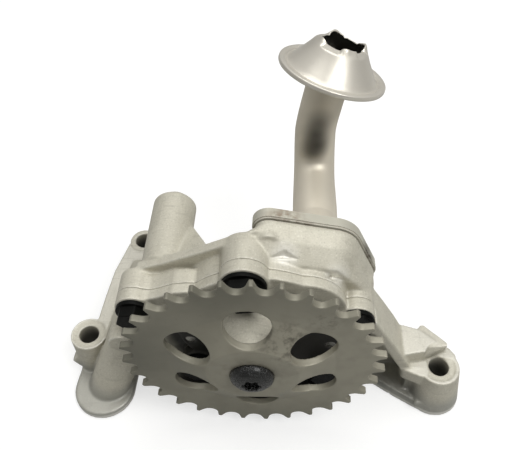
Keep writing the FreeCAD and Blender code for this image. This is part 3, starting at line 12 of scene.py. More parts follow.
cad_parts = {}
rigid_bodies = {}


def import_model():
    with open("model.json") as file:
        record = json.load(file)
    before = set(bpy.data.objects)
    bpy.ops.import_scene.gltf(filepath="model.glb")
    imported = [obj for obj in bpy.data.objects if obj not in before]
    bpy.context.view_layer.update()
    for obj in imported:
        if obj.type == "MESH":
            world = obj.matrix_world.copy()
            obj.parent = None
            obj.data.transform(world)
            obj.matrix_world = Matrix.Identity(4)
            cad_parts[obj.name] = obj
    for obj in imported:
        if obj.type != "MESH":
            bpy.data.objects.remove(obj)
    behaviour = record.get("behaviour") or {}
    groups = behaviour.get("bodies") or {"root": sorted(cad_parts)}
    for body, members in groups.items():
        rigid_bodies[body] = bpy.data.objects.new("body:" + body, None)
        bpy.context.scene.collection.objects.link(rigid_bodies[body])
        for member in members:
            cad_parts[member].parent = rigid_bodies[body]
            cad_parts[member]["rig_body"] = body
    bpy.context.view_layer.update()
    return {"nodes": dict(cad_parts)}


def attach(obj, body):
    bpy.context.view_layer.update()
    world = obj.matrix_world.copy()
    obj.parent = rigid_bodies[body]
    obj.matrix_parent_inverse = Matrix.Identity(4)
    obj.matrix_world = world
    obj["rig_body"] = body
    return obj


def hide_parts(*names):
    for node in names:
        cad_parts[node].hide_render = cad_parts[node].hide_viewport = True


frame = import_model()

bl_info = {
    "name": "Oil pump dressing",
    "version": (1, 0, 0),
    "blender": (4, 5, 0),
    "location": "View3D > Sidebar > Oil pump",
    "description": "Dresses the oil pump's solids with cast, stamped and drawn metal finishes",
    "category": "Object",
}

# One millimetre in metres; then, in millimetres, the heights of the block face, of the lugs' tops and of the
# right lug's raised pad, and where along the shaft the cover meets the housing
MM = 0.001
BLOCK_FACE = -54.0
LUG_TOP = -30.0
PAD_TOP = -22.5
PARTING = 22.0

# Bolt lugs of the housing: place across and along the block face, and bore radius
LUGS = ((-73.0, 26.0), (-57.6, 79.4), (77.0, 17.0))
LUG_BORE = 4.2

# Rotor chamber: height of its axis, its radius, and where it starts and ends along the shaft
CHAMBER_HEIGHT = -2.0
CHAMBER_RADIUS = 22.0
CHAMBER_FRONT = 21.4
CHAMBER_BACK = 46.0

# How firmly machined faces hold their shape under the rounding, from 0 to 1, and how far round them
SEAT_HOLD = 0.85
SEAT_REACH = 1.2
PARTING_HOLD = 0.92
PARTING_REACH = 0.9
BLOCK_HOLD = 0.8
BLOCK_REACH = 0.4
SHAFT_HOLD = 0.9
SHAFT_REACH = 10.0

# Even meshes of the bolts, smoothing passes of the steel parts, and the share of its faces that each keeps
BOLT_PITCH = 0.00024
HUB_BOLT_PITCH = 0.00026
STEEL_PASSES = 3
HOUSING_KEPT = 0.45
COVER_KEPT = 0.5
PLATE_KEPT = 0.4
BOLT_KEPT = 0.5

# Pick-up tube: centre line and outer radius at each point, from the flange to the strainer
TUBE_LINE = ((22.2, 42.8, 18.0, 8.75), (22.2, 52.0, 18.0, 8.9), (22.2, 60.0, 18.0, 8.95),
             (22.1, 68.5, 18.2, 8.8), (22.0, 75.5, 19.4, 8.6), (21.9, 80.6, 22.6, 8.5),
             (21.7, 83.6, 27.4, 8.45), (21.5, 84.6, 33.0, 8.4), (21.4, 84.9, 38.5, 8.3),
             (21.9, 85.7, 43.5, 8.2), (22.9, 87.0, 49.0, 8.2), (24.1, 88.3, 55.0, 8.2),
             (25.2, 89.2, 60.0, 8.2), (25.9, 89.7, 63.6, 8.2))
TUBE_WALL = 1.2

# Painted dark reflection up the front of the tube's bend: place, radius and share
TUBE_REFLECTION = (((0.0205, 0.0752, 0.034), 0.0086, 0.75), ((0.0222, 0.0756, 0.0375), 0.0086, 0.8),
               ((0.0213, 0.0764, 0.0425), 0.0086, 0.8), ((0.0224, 0.0778, 0.0480), 0.0078, 0.6))

# Strainer: its place, its own upright, its sheet's thickness, the least that may be left of it towards the
# middle, and the pressed bell's outer profile as radius and height
STRAINER_PLACE = (26.2, 89.8, 63.4)
STRAINER_UP = (0.2576, 0.2164, 0.9417)
SHEET = 0.7
SHEET_LEAST = 0.15
BELL_PROFILE = ((21.3, -0.6), (21.5, -0.2), (21.5, 0.6), (21.3, 1.1), (20.6, 1.35), (19.6, 1.3), (18.9, 1.0),
                (18.5, 0.75), (18.1, 0.85), (17.6, 1.25), (16.9, 2.0), (16.1, 3.0), (15.0, 4.4), (13.8, 6.0),
                (12.5, 7.8), (11.3, 9.6), (10.3, 11.2), (9.5, 12.5), (8.9, 13.2))

# The bell's torn mouth: number of tabs, height on the profile where it starts to bend, how far the tabs
# stand up and how far they spread
MOUTH_TABS = 4
MOUTH_START = 10.6
TAB_RISE = 1.5
TAB_SPREAD = 0.9

# Forms added to the housing: the neck rounded off below the flange, and the right lug's plate and raised
# pad; each an axis, then levels on it with their circles
NECK_BELTS = ("Y", ((25.0, ((38.4, 4.6, 6.3), (18.1, 7.0, 16.2), (26.0, 14.0, 9.0), (3.2, 20.6, 6.3))),
                    (31.5, ((38.8, 4.8, 6.4), (27.0, 17.4, 10.8), (2.6, 27.6, 5.2), (18.1, 7.0, 16.0))),
                    (37.0, ((40.2, 5.2, 6.1), (27.8, 19.3, 11.4), (4.3, 29.3, 5.5), (18.1, 7.0, 15.0)))))
PLATE_LEFT = ((63.6, 24.0, 2.2), (63.4, 16.0, 2.0), (69.6, 14.4, 2.8), (69.0, 25.0, 2.8))
PLATE_REAR = ((69.5, 25.5, 2.6), (74.0, 26.6, 2.4), (81.0, 24.4, 2.0), (83.0, 22.0, 1.8))
LUG_PLATES = tuple(("Z", ((-37.0, circles), (-30.05, circles))) for circles in (PLATE_LEFT, PLATE_REAR))
LUG_PAD = ("Z", ((-31.0, ((62.6, 18.4, 1.7), (68.0, 19.6, 1.2), (70.4, 31.4, 1.5), (79.0, 24.8, 1.2))),
                 (-23.0, ((62.6, 22.0, 1.3), (70.4, 31.4, 1.1), (79.0, 23.4, 1.1)))))

# Painted shade that darkens the sprocket's left, upper and lower parts: place, radius and share
SPROCKET_SHADE = (((-0.058, 0.0, 0.004), 0.062, 0.95), ((-0.012, 0.0, 0.052), 0.042, 0.85),
                 ((-0.01, 0.0, -0.056), 0.05, 0.5), ((0.028, 0.0, 0.048), 0.03, 0.5),
                 ((0.03, 0.0, -0.045), 0.03, 0.4))

# Painted shade, black and dark grey, in the housing's hollows and under it: place, radius, share and colour
UNLIT = (0.002, 0.002, 0.002, 1.0)
HOLLOW_SHADE_SPOTS = (((-0.018, 0.022, -0.044), 0.028, 1.0, UNLIT),
                ((0.004, 0.022, -0.046), 0.030, 1.0, UNLIT),
                ((0.026, 0.022, -0.044), 0.028, 1.0, UNLIT),
                ((0.052, 0.016, -0.041), 0.016, 1.0, (0.016, 0.018, 0.017, 1.0)),
                ((-0.030, 0.016, -0.047), 0.014, 1.0, UNLIT),
                ((0.030, 0.016, -0.047), 0.014, 1.0, UNLIT),
                ((0.066, 0.012, -0.044), 0.010, 0.6, (0.06, 0.063, 0.058, 1.0)),
                ((0.046, 0.022, -0.03), 0.014, 0.7, (0.03, 0.031, 0.028, 1.0)))

# Painted shade down the lugs' bores, one spot for each height in each bore
BORE_SHADE = (0.008, 0.008, 0.007, 1.0)
BORE_HEIGHTS = (-0.037, -0.0385, -0.043)
BORE_SHADE_SPOTS = tuple(((across * MM, along * MM, height), 0.0088, 1.0, BORE_SHADE)
                   for across, along in LUGS for height in BORE_HEIGHTS)

# Painted shadow on the faces behind the sprocket: middle of the patch, its nearest depth and its radius
SPROCKET_SHADOW = {"Centre": (0.0, 0.0, -0.019), "Low": 0.012, "Radius": 0.041}

# Milled planes of the castings, as direction and level along it, and how much brighter they are
UP = (0.0, 0.0, 1.0)
DOWN = (0.0, 0.0, -1.0)
MILLED_PLANES = ((UP, LUG_TOP), (DOWN, -BLOCK_FACE), (UP, PAD_TOP))
MILLED_SHARE = 0.3

# Flow lines in the castings: stretch, scale and share
FLOW_LINES = (((0.15, 1.0, 1.0), 420.0, 0.22), ((1.0, 0.2, 0.4), 300.0, 0.14))

# Heights between which the castings turn darker and glossier towards the bottom, and a painted highlight
# runs along their rim
LOWER_DARKENING = (-0.040, -0.049)
RIM_HIGHLIGHT = (-0.0508, -0.0522)

# Old oil on the sprocket's face: place, radius, scale, cover and share
SPROCKET_DIRT = (((0.012, -0.005, 0.020), 0.016, 260.0, 0.10, 0.75),
                 ((0.0, -0.009, 0.0), 0.019, 160.0, 0.12, 0.6),
                 ((0.024, -0.004, 0.030), 0.010, 420.0, 0.06, 0.6),
                 ((-0.030, -0.003, 0.026), 0.2, 90.0, -0.10, 0.45),
                 ((0.0, -0.002, 0.0), 0.2, 500.0, -0.14, 0.55))

# Pressed dimples on the neck: place, half width across, half width up the slope, depth; how far off their
# plane and how much turned away a spot may be to be pressed, and how steep their sides are
DIMPLES = (((10.1, 28.6, 26.8), 5.8, 1.7, 0.9), ((29.4, 25.6, 19.4), 5.4, 1.8, 0.9))
DIMPLE_REACH = 3.2
DIMPLE_FACING = 0.2
DIMPLE_STEEPNESS = 2.5

# Painted dark shadow on the floor under the pump: for its narrow and its wide part, where it begins away
# from the camera and where it ends to the sides; then where it fades out behind
SHADOW_PATCH_PARTS = (((0.004, 0.010), (0.010, 0.018)), ((0.0155, 0.0175), (0.033, 0.037)))
SHADOW_PATCH_END = (0.026, 0.036)
FLOOR_HALF = 4.0
FLOOR_GAP = 0.0002


def linear(red, green, blue):
    """A colour named by its eight-bit screen values, as the shader wants it."""
    def channel(value):
        share = value / 255.0
        return share / 12.92 if share <= 0.04045 else ((share + 0.055) / 1.055) ** 2.4
    return (channel(red), channel(green), channel(blue), 1.0)


def colour_prop(name, description, red, green, blue):
    """A colour setting whose default is named by its screen values."""
    return FloatVectorProperty(name=name, description=description, subtype="COLOR", size=4,
                               min=0.0, max=1.0, default=linear(red, green, blue))


class PumpCastingFinish(bpy.types.PropertyGroup):
    """Sizes and colours of the sandblasted aluminium castings."""
    colour: colour_prop("Casting colour", "Blasted aluminium in plain light", 198, 194, 178)
    # The recess colour also paints shade into the castings' corners
    shade: colour_prop("Recess colour", "Aluminium in corners and pockets, where oil stays", 150, 145, 129)
    # The edge colour also paints highlights on edges, along the lower rim and on the dimples
    bright: colour_prop("Edge colour", "Rubbed edges and machined faces", 236, 234, 226)
    voxel: FloatProperty(name="Mesh pitch", description="Pitch of the even mesh laid over a casting",
                         default=0.00048, min=0.0003, max=0.002, subtype="DISTANCE", unit="LENGTH")
    rounding: IntProperty(name="Rounding passes", description="Smoothing passes that make the cast fillets",
                          default=6, min=0, max=40)
    grain: FloatProperty(name="Blast grain", description="Depth of the blasted grain", default=0.00011,
                         min=0.0, max=0.001, subtype="DISTANCE", unit="LENGTH")


class PumpSteelFinish(bpy.types.PropertyGroup):
    """Colours of the stamped, drawn and black steel parts."""
    sprocket: colour_prop("Sprocket colour", "Phosphated sprocket steel", 158, 154, 138)
    # The smudge colour also paints shade into the sprocket's corners
    smudge: colour_prop("Smudge colour", "Old oil on the sprocket", 58, 52, 42)
    tube: colour_prop("Tube colour", "Drawn pick-up tube", 230, 222, 204)
    bell: colour_prop("Bell colour", "Pressed strainer bell", 214, 209, 197)
    flange: colour_prop("Flange colour", "Pick-up flange plate", 200, 197, 182)
    black: colour_prop("Black bolt colour", "Oiled black fasteners", 8, 9, 7)
    voxel: FloatProperty(name="Mesh pitch", description="Pitch of the even mesh laid over a stamped part",
                         default=0.00032, min=0.0001, max=0.002, subtype="DISTANCE", unit="LENGTH")


class PumpStudio(bpy.types.PropertyGroup):
    """The camera at the viewing angle, the lamps and the floor."""
    camera_place: FloatVectorProperty(name="Camera place", description="Where the camera stands",
                                      default=(0.00785, -0.11416, 0.20942), subtype="XYZ", unit="LENGTH")
    camera_dip: FloatProperty(name="Camera dip", description="How far the camera looks down",
                              default=radians(49.323), subtype="ANGLE", unit="ROTATION")
    camera_turn: FloatProperty(name="Camera turn", description="How far the camera turns to the left",
                               default=radians(2.009), subtype="ANGLE", unit="ROTATION")
    camera_roll: FloatProperty(name="Camera roll", description="How far the camera rolls",
                               default=radians(0.466), subtype="ANGLE", unit="ROTATION")
    lens: FloatProperty(name="Lens", description="Focal length in millimetres on a 36 mm frame",
                        default=43.065, min=10.0, max=300.0)
    key: FloatProperty(name="Overhead lamp", description="Power of the large overhead lamp in watts",
                       default=5.0, min=0.0)
    window: FloatProperty(name="Window lamp", default=6.3, min=0.0,
                          description="Power of the lamp high at the front right in watts")
    sky: FloatProperty(name="Sky", description="Strength of the light from straight above",
                       default=0.6, min=0.0)
    horizon: FloatProperty(name="Horizon", description="Strength of the light from the sides",
                           default=0.2, min=0.0)
    front: FloatProperty(name="Front", description="Share of the side light that comes from in front",
                         default=0.45, min=0.0, max=1.0)
    floor: colour_prop("Floor colour", "Plain pale floor", 178, 178, 176)
    lift: FloatProperty(name="Floor lift", description="Light added to the floor where the camera sees it",
                        default=0.6, min=0.0)


# Shader building blocks

def feed(tree, socket, value):
    """Gives a socket a value, or links it to another node's output."""
    if isinstance(value, bpy.types.NodeSocket):
        tree.links.new(value, socket)
    else:
        socket.default_value = value


def node_with(tree, kind, inputs=None, **settings):
    """A new node with its settings, whose inputs take values or another node's output."""
    node = tree.nodes.new(kind)
    for key, value in settings.items():
        setattr(node, key, value)
    for key, value in (inputs or {}).items():
        feed(tree, node.inputs[key], value)
    return node


def maths(tree, operation, first, second=0.0):
    """The outcome of one operation on two numbers."""
    return node_with(tree, "ShaderNodeMath", {0: first, 1: second}, operation=operation).outputs[0]


def measure(tree, operation, first, second):
    """The outcome of an operation on two vectors that gives one number."""
    node = node_with(tree, "ShaderNodeVectorMath", {0: first, 1: second}, operation=operation)
    return node.outputs["Value"]


def span(tree, value, low, high, start=0.0, end=1.0):
    """The value brought smoothly from low..high to start..end."""
    node = node_with(tree, "ShaderNodeMapRange", {"Value": value, "From Min": low, "From Max": high,
                                                  "To Min": start, "To Max": end},
                     interpolation_type="SMOOTHSTEP")
    return node.outputs["Result"]


def blend(tree, share, first, second):
    """The first colour brought towards the second by a share."""
    node = node_with(tree, "ShaderNodeMix", {0: share, 6: first, 7: second}, data_type="RGBA")
    return node.outputs[2]


def own_place(tree):
    """Where each spot lies in its piece's own frame."""
    return tree.nodes.new("ShaderNodeTexCoord").outputs["Object"]


def facing_way(tree):
    """The way that each spot faces."""
    return tree.nodes.new("ShaderNodeNewGeometry").outputs["Normal"]


def effect(name, inputs, outputs, build):
    """A shader node group with named sockets, built once and shared by the materials."""
    tree = bpy.data.node_groups.new(name, "ShaderNodeTree")
    for label, kind, default in inputs:
        socket = tree.interface.new_socket(name=label, in_out="INPUT", socket_type="NodeSocket" + kind)
        socket.default_value = default
    for label, kind in outputs:
        tree.interface.new_socket(name=label, in_out="OUTPUT", socket_type="NodeSocket" + kind)
    given = tree.nodes.new("NodeGroupInput")
    made = build(tree, given.outputs)
    result = tree.nodes.new("NodeGroupOutput")
    for label, _ in outputs:
        tree.links.new(made[label], result.inputs[label])
    return tree


def build_grain(tree, given):
    """Blasted grain with a slower unevenness under it."""
    place = own_place(tree)
    fine = node_with(tree, "ShaderNodeTexNoise", {"Vector": place, "Scale": given["Scale"], "Detail": 3.0,
                                                  "Roughness": 0.6})
    slow_scale = maths(tree, "MULTIPLY", given["Scale"], 0.06)
    slow = node_with(tree, "ShaderNodeTexNoise", {"Vector": place, "Scale": slow_scale, "Detail": 2.0})
    height = maths(tree, "MULTIPLY_ADD", slow.outputs["Fac"], 0.8)
    tree.links.new(fine.outputs["Fac"], height.node.inputs[2])
    return {"Height": height, "Mottle": slow.outputs["Fac"], "Speckle": fine.outputs["Fac"]}


def build_edges(tree, given):
    """How strongly a spot lies on an edge, and how deep it lies in a corner, the mask for painted shade."""
    plain = facing_way(tree)
    rounded = node_with(tree, "ShaderNodeBevel", {"Radius": given["Radius"]}, samples=4)
    bent = maths(tree, "SUBTRACT", 1.0, measure(tree, "DOT_PRODUCT", plain, rounded.outputs[0]))
    open_share = node_with(tree, "ShaderNodeAmbientOcclusion", {"Distance": given["Depth"]}, samples=4)
    corner = maths(tree, "SUBTRACT", 1.0, open_share.outputs["AO"])
    inside = span(tree, corner, 0.45, 0.75, 1.0, 0.0)
    edge = maths(tree, "MULTIPLY", span(tree, bent, 0.01, 0.16), inside)
    return {"Edge": edge, "CornerShade": span(tree, corner, 0.25, 0.95)}


def build_smudge(tree, given):
    """Soft uneven patches within a radius of one spot, or everywhere where the radius is large."""
    place = own_place(tree)
    near = span(tree, measure(tree, "DISTANCE", place, given["Spot"]), 0.0, given["Radius"], 1.0, 0.0)
    patch = node_with(tree, "ShaderNodeTexNoise", {"Vector": place, "Scale": given["Scale"], "Detail": 5.0,
                                                   "Roughness": 0.62})
    raised = maths(tree, "MULTIPLY_ADD", patch.outputs["Fac"], 1.2)
    tree.links.new(given["Cover"], raised.node.inputs[2])
    return {"Mask": maths(tree, "MULTIPLY", span(tree, raised, 0.62, 0.92), near)}


def build_level(tree, given):
    """Picks out one machined plane: the spots that face along the direction at the level."""
    place = own_place(tree)
    facing = facing_way(tree)
    along = measure(tree, "DOT_PRODUCT", place, given["Direction"])
    off = maths(tree, "ABSOLUTE", maths(tree, "SUBTRACT", along, given["Level"]))
    at_level = span(tree, off, 0.0002, 0.0007, 1.0, 0.0)
    square_on = span(tree, measure(tree, "DOT_PRODUCT", facing, given["Direction"]), 0.9, 0.99)
    return {"Mask": maths(tree, "MULTIPLY", at_level, square_on)}


def build_behind(tree, given):
    """Picks out the faces close behind the sprocket that don't look back, within a radius of a centre: where
    its painted shadow goes.
    """
    place = own_place(tree)
    facing = facing_way(tree)
    parts = node_with(tree, "ShaderNodeSeparateXYZ", {0: place})
    flat = node_with(tree, "ShaderNodeVectorMath", {0: place, 1: (1.0, 0.0, 1.0)}, operation="MULTIPLY")
    away = measure(tree, "DISTANCE", flat.outputs[0], given["Centre"])
    near = span(tree, maths(tree, "SUBTRACT", given["Radius"], away), -0.002, 0.006)
    back = maths(tree, "SUBTRACT", parts.outputs[1], given["Low"])
    deep = maths(tree, "MULTIPLY", span(tree, back, 0.0, 0.002), span(tree, back, 0.018, 0.024, 1.0, 0.0))
    forward = span(tree, measure(tree, "DOT_PRODUCT", facing, (0.0, -1.0, 0.0)), -0.7, 0.0)
    return {"Mask": maths(tree, "MULTIPLY", maths(tree, "MULTIPLY", near, deep), forward)}


def build_streak(tree, given):
    """Fine lines that run across the pump, as the metal flowed in the mould."""
    place = own_place(tree)
    drawn = node_with(tree, "ShaderNodeVectorMath", {0: place, 1: given["Stretch"]}, operation="MULTIPLY")
    lines = node_with(tree, "ShaderNodeTexNoise", {"Vector": drawn.outputs[0], "Scale": given["Scale"],
                                                   "Detail": 2.0, "Roughness": 0.55, "Distortion": 0.4})
    return {"Mask": span(tree, lines.outputs["Fac"], 0.56, 0.68)}


def shared_effects():
    """The node groups that the materials share, by the names that Finish.use takes."""
    return {
        "grain": effect("blasted grain", [("Scale", "Float", 900.0)],
                        [("Height", "Float"), ("Mottle", "Float"), ("Speckle", "Float")], build_grain),
        # The edges effect also gives the corner mask for painted shade
        "edges": effect("rubbed edges", [("Radius", "Float", 0.001), ("Depth", "Float", 0.006)],
                        [("Edge", "Float"), ("CornerShade", "Float")], build_edges),
        # The smudge effect also paints shade, shadow, highlight and reflection
        "smudge": effect("oil smudge", [("Spot", "Vector", (0.0, 0.0, 0.0)), ("Radius", "Float", 0.01),
                                        ("Scale", "Float", 200.0), ("Cover", "Float", 0.1)],
                         [("Mask", "Float")], build_smudge),
        "level": effect("machined plane", [("Direction", "Vector", UP), ("Level", "Float", 0.0)],
                        [("Mask", "Float")], build_level),
        "behind": effect("behind the sprocket", [("Centre", "Vector", (0.0, 0.0, 0.0)),
                                                 ("Low", "Float", 0.014), ("Radius", "Float", 0.04)],
                         [("Mask", "Float")], build_behind),
        "streak": effect("flow lines", [("Stretch", "Vector", (0.2, 1.0, 1.0)), ("Scale", "Float", 300.0)],
                         [("Mask", "Float")], build_streak),
    }


EFFECTS = {}


class Finish:
    """One material under construction: a principled surface with its colour, gloss and height built up."""

    def __init__(self, name, metallic=0.0, roughness=0.5, coat=0.0, coat_roughness=0.1):
        self.material = bpy.data.materials.new(name)
        self.material.use_nodes = True
        self.tree = self.material.node_tree
        self.surface = self.tree.nodes["Principled BSDF"]
        self.surface.inputs["Metallic"].default_value = metallic
        self.surface.inputs["Coat Weight"].default_value = coat
        self.surface.inputs["Coat Roughness"].default_value = coat_roughness
        self.roughness = roughness
        self.colour = (0.5, 0.5, 0.5, 1.0)

    def use(self, name, **inputs):
        """Adds a shared effect with its inputs set, and gives back its outputs."""
        node = self.tree.nodes.new("ShaderNodeGroup")
        node.node_tree = EFFECTS[name]
        for key, value in inputs.items():
            node.inputs[key].default_value = value
        return node.outputs

    def tint(self, mask, colour, share=None):
        """Brings the colour towards another where the mask says so, or by a share of that."""
        if share is not None:
            mask = maths(self.tree, "MULTIPLY", mask, share)
        self.colour = blend(self.tree, mask, self.colour, colour)

    def spot_tint(self, share, colour, spot, radius, scale, cover):
        """Tints a soft patch round a spot, for oil and for painted shade, shadow, highlight and reflection,
        and gives back its mask.
        """
        mask = self.use("smudge", Spot=spot, Radius=radius, Scale=scale, Cover=cover)["Mask"]
        self.tint(mask, colour, share)
        return mask

    def gloss(self, mask, roughness, share=None):
        """Brings the roughness towards a value where the mask says so, or by a share of that."""
        if share is not None:
            mask = maths(self.tree, "MULTIPLY", mask, share)
        node = node_with(self.tree, "ShaderNodeMix", {0: mask, 2: self.roughness, 3: roughness},
                         data_type="FLOAT")
        self.roughness = node.outputs[0]

    def close(self, height, depth):
        """Joins the colour, the roughness and a raised grain of a depth to the surface."""
        feed(self.tree, self.surface.inputs["Base Color"], self.colour)
        feed(self.tree, self.surface.inputs["Roughness"], self.roughness)
        bump = node_with(self.tree, "ShaderNodeBump", {"Height": height, "Strength": 0.6, "Distance": depth})
        feed(self.tree, self.surface.inputs["Normal"], bump.outputs["Normal"])
        return self.material


def blasted_metal(finish, look):
    """Uneven blasted aluminium with painted shade in its corners, rubbed edges partly brightened as painted
    highlight, and brighter milled planes; gives back the height of its grain."""
    tree = finish.tree
    grain = finish.use("grain", Scale=1500.0)
    edges = finish.use("edges", Radius=0.0012, Depth=0.007)
    finish.tint(span(tree, grain["Mottle"], 0.35, 0.75, 0.0, 0.16), tuple(look.shade))
    finish.tint(span(tree, grain["Speckle"], 0.56, 0.70, 0.0, 0.32), linear(132, 127, 113))
    finish.tint(span(tree, grain["Speckle"], 0.44, 0.30, 0.0, 0.5), linear(226, 223, 210))
    # Painted shade in the corners, in the recess colour
    finish.tint(edges["CornerShade"], tuple(look.shade), 0.55)
    # Edges brightened as rubbed wear and, in part, as painted highlight
    finish.tint(edges["Edge"], tuple(look.bright), 0.9)
    finish.gloss(edges["Edge"], 0.34, 0.9)
    for direction, level in MILLED_PLANES:
        plane = finish.use("level", Direction=direction, Level=level * MM)["Mask"]
        finish.tint(plane, tuple(look.bright), MILLED_SHARE)
        finish.gloss(plane, 0.38, MILLED_SHARE)
    return grain["Height"]


def casting_marks_and_painted_light(finish, look):
    """Specks, flow lines, painted shadow behind the sprocket, darker and glossier low down, painted
    highlights on the rim and dimples.
    """
    tree = finish.tree
    finish.spot_tint(0.6, linear(96, 88, 74), (0.01, 0.03, 0.0), 0.3, 520.0, -0.13)
    for stretch, scale, share in FLOW_LINES:
        line = finish.use("streak", Stretch=stretch, Scale=scale)["Mask"]
        finish.tint(line, tuple(look.shade), share)
    finish.spot_tint(0.18, linear(150, 142, 122), (0.0, 0.02, 0.018), 0.06, 60.0, 0.0)
    # Painted shadow of the sprocket on the faces close behind it
    behind = finish.use("behind", **SPROCKET_SHADOW)["Mask"]
    finish.tint(behind, linear(30, 30, 27), 0.95)
    place = own_place(tree)
    height = node_with(tree, "ShaderNodeSeparateXYZ", {0: place}).outputs[2]
    # Darker and glossier towards the bottom
    lower_darkening = span(tree, height, *LOWER_DARKENING, 0.0, 0.6)
    finish.tint(lower_darkening, linear(140, 141, 137))
    finish.gloss(lower_darkening, 0.3)
    # Painted highlight along the rim near the block face
    finish.tint(span(tree, height, *RIM_HIGHLIGHT, 0.0, 0.7), tuple(look.bright))
    # Painted highlight on the pressed dimples, with less roughness
    for spot, across, _, _ in DIMPLES:
        centre = tuple(value * MM for value in spot)
        worn = finish.spot_tint(0.7, tuple(look.bright), centre, across * 1.3 * MM, 700.0, 0.3)
        finish.gloss(worn, 0.28, 0.8)


def casting_finish(name, shade_spots=()):
    """Worn blasted aluminium, with painted shade in the hollows named."""
    look = bpy.context.scene.pump_casting
    finish = Finish(name, metallic=0.25, roughness=0.56)
    finish.colour = tuple(look.colour)
    height = blasted_metal(finish, look)
    casting_marks_and_painted_light(finish, look)
    # Painted shade in the hollows given
    for spot, radius, share, shade in shade_spots:
        finish.spot_tint(share, shade, spot, radius, 150.0, 0.5)
    return finish.close(height, look.grain)


def sprocket_finish():
    """Phosphated steel with old oil round the hub and between the upper windows, and painted shade over its
    left, upper and lower parts and in its corners.
    """
    look = bpy.context.scene.pump_steel
    finish = Finish("phosphated_sprocket", metallic=0.35, roughness=0.5)
    tree = finish.tree
    finish.colour = tuple(look.sprocket)
    grain = finish.use("grain", Scale=1900.0)
    edges = finish.use("edges", Radius=0.0006, Depth=0.004)
    finish.tint(span(tree, grain["Mottle"], 0.4, 0.7, 0.0, 0.2), linear(112, 108, 96))
    # Painted shade over the sprocket's left, upper and lower parts
    for spot, radius, share in SPROCKET_SHADE:
        finish.spot_tint(share, linear(98, 97, 85), spot, radius, 40.0, 0.45)
    finish.tint(edges["Edge"], linear(186, 180, 164), 0.5)
    finish.gloss(edges["Edge"], 0.32)
    # Painted shade in the sprocket's corners, in the oil colour
    finish.tint(edges["CornerShade"], tuple(look.smudge), 0.5)
    for spot, radius, scale, cover, share in SPROCKET_DIRT:
        dirt = finish.spot_tint(share, tuple(look.smudge), spot, radius, scale, cover)
        finish.gloss(dirt, 0.35, 0.6)
    return finish.close(grain["Height"], 0.00003)


def black_finish(name, roughness, coat, pits, depth, shine):
    """Oiled black steel, worn to bare metal along its edges; pits and depth are the scale and the depth of
    its grain, and shine how strongly it mirrors."""
    look = bpy.context.scene.pump_steel
    finish = Finish(name, metallic=0.2, roughness=roughness, coat=coat, coat_roughness=0.1)
    finish.surface.inputs["Specular IOR Level"].default_value = shine
    tree = finish.tree
    finish.colour = tuple(look.black)
    grain = finish.use("grain", Scale=pits)
    edges = finish.use("edges", Radius=0.0004, Depth=0.002)
    finish.tint(span(tree, grain["Mottle"], 0.4, 0.7, 0.0, 0.3), linear(24, 24, 21))
    finish.tint(edges["Edge"], linear(84, 83, 77), 0.3)
    finish.gloss(span(tree, grain["Speckle"], 0.4, 0.7), roughness + 0.2)
    return finish.close(grain["Height"], depth)


def scaled(colour, factor):
    """A colour made darker or brighter, up to full brightness."""
    return tuple(min(1.0, factor * value) for value in colour[:3]) + (1.0,)


def sheet_finish(name, colour, roughness, grain_scale, marks=(), metallic=0.5):
    """Bright sheet or drawn steel with uneven tone, painted shade in its corners, and the marks given:
    stains, and a painted reflection on the tube.
    """
    finish = Finish(name, metallic=metallic, roughness=roughness)
    tree = finish.tree
    finish.colour = tuple(colour)
    grain = finish.use("grain", Scale=grain_scale)
    edges = finish.use("edges", Radius=0.0005, Depth=0.004)
    finish.tint(span(tree, grain["Mottle"], 0.38, 0.72, 0.0, 0.3), scaled(colour, 0.72))
    # Painted shade in the corners
    finish.tint(edges["CornerShade"], linear(96, 90, 76), 0.5)
    finish.tint(edges["Edge"], linear(232, 229, 220), 0.5)
    finish.gloss(span(tree, grain["Mottle"], 0.4, 0.8), roughness + 0.14)
    for spot, radius, scale, cover, share, shade in marks:
        mark = finish.spot_tint(share, shade, spot, radius, scale, cover)
        finish.gloss(mark, 0.6, share)
    return finish.close(grain["Height"], 0.00002)


def plain_metal(name, colour, metallic, roughness, grain_scale=1600.0, depth=0.00002):
    """A machined inner part under a film of oil."""
    finish = Finish(name, metallic=metallic, roughness=roughness, coat=0.2, coat_roughness=0.2)
    tree = finish.tree
    finish.colour = tuple(colour)
    grain = finish.use("grain", Scale=grain_scale)
    edges = finish.use("edges", Radius=0.0004, Depth=0.003)
    finish.tint(span(tree, grain["Mottle"], 0.35, 0.75, 0.0, 0.35), scaled(colour, 0.6))
    finish.tint(edges["Edge"], scaled(colour, 1.5), 0.5)
    return finish.close(grain["Height"], depth)


# Mesh building blocks

def mesh_from(shell, name):
    """A new mesh made from a shell, which is freed."""
    mesh = bpy.data.meshes.new(name)
    shell.to_mesh(mesh)
    shell.free()
    return mesh


def bridge(shell, low, high):
    """The band of faces that joins two rings of corners."""
    count = len(low)
    return [shell.faces.new((low[i], low[(i + 1) % count], high[(i + 1) % count], high[i]))
            for i in range(count)]


def solid_mesh(node, name):
    """A closed copy of a node's mesh whose split corners are joined again."""
    source = frame["nodes"][node]
    shell = bmesh.new()
    shell.from_mesh(source.data)
    bmesh.ops.remove_doubles(shell, verts=shell.verts, dist=2e-6)
    return mesh_from(shell, name)


def settle(piece):
    """Applies a piece's modifiers to its mesh."""
    depsgraph = bpy.context.evaluated_depsgraph_get()
    made = bpy.data.meshes.new_from_object(piece.evaluated_get(depsgraph))
    piece.modifiers.clear()
    old = piece.data
    piece.data = made
    bpy.data.meshes.remove(old)


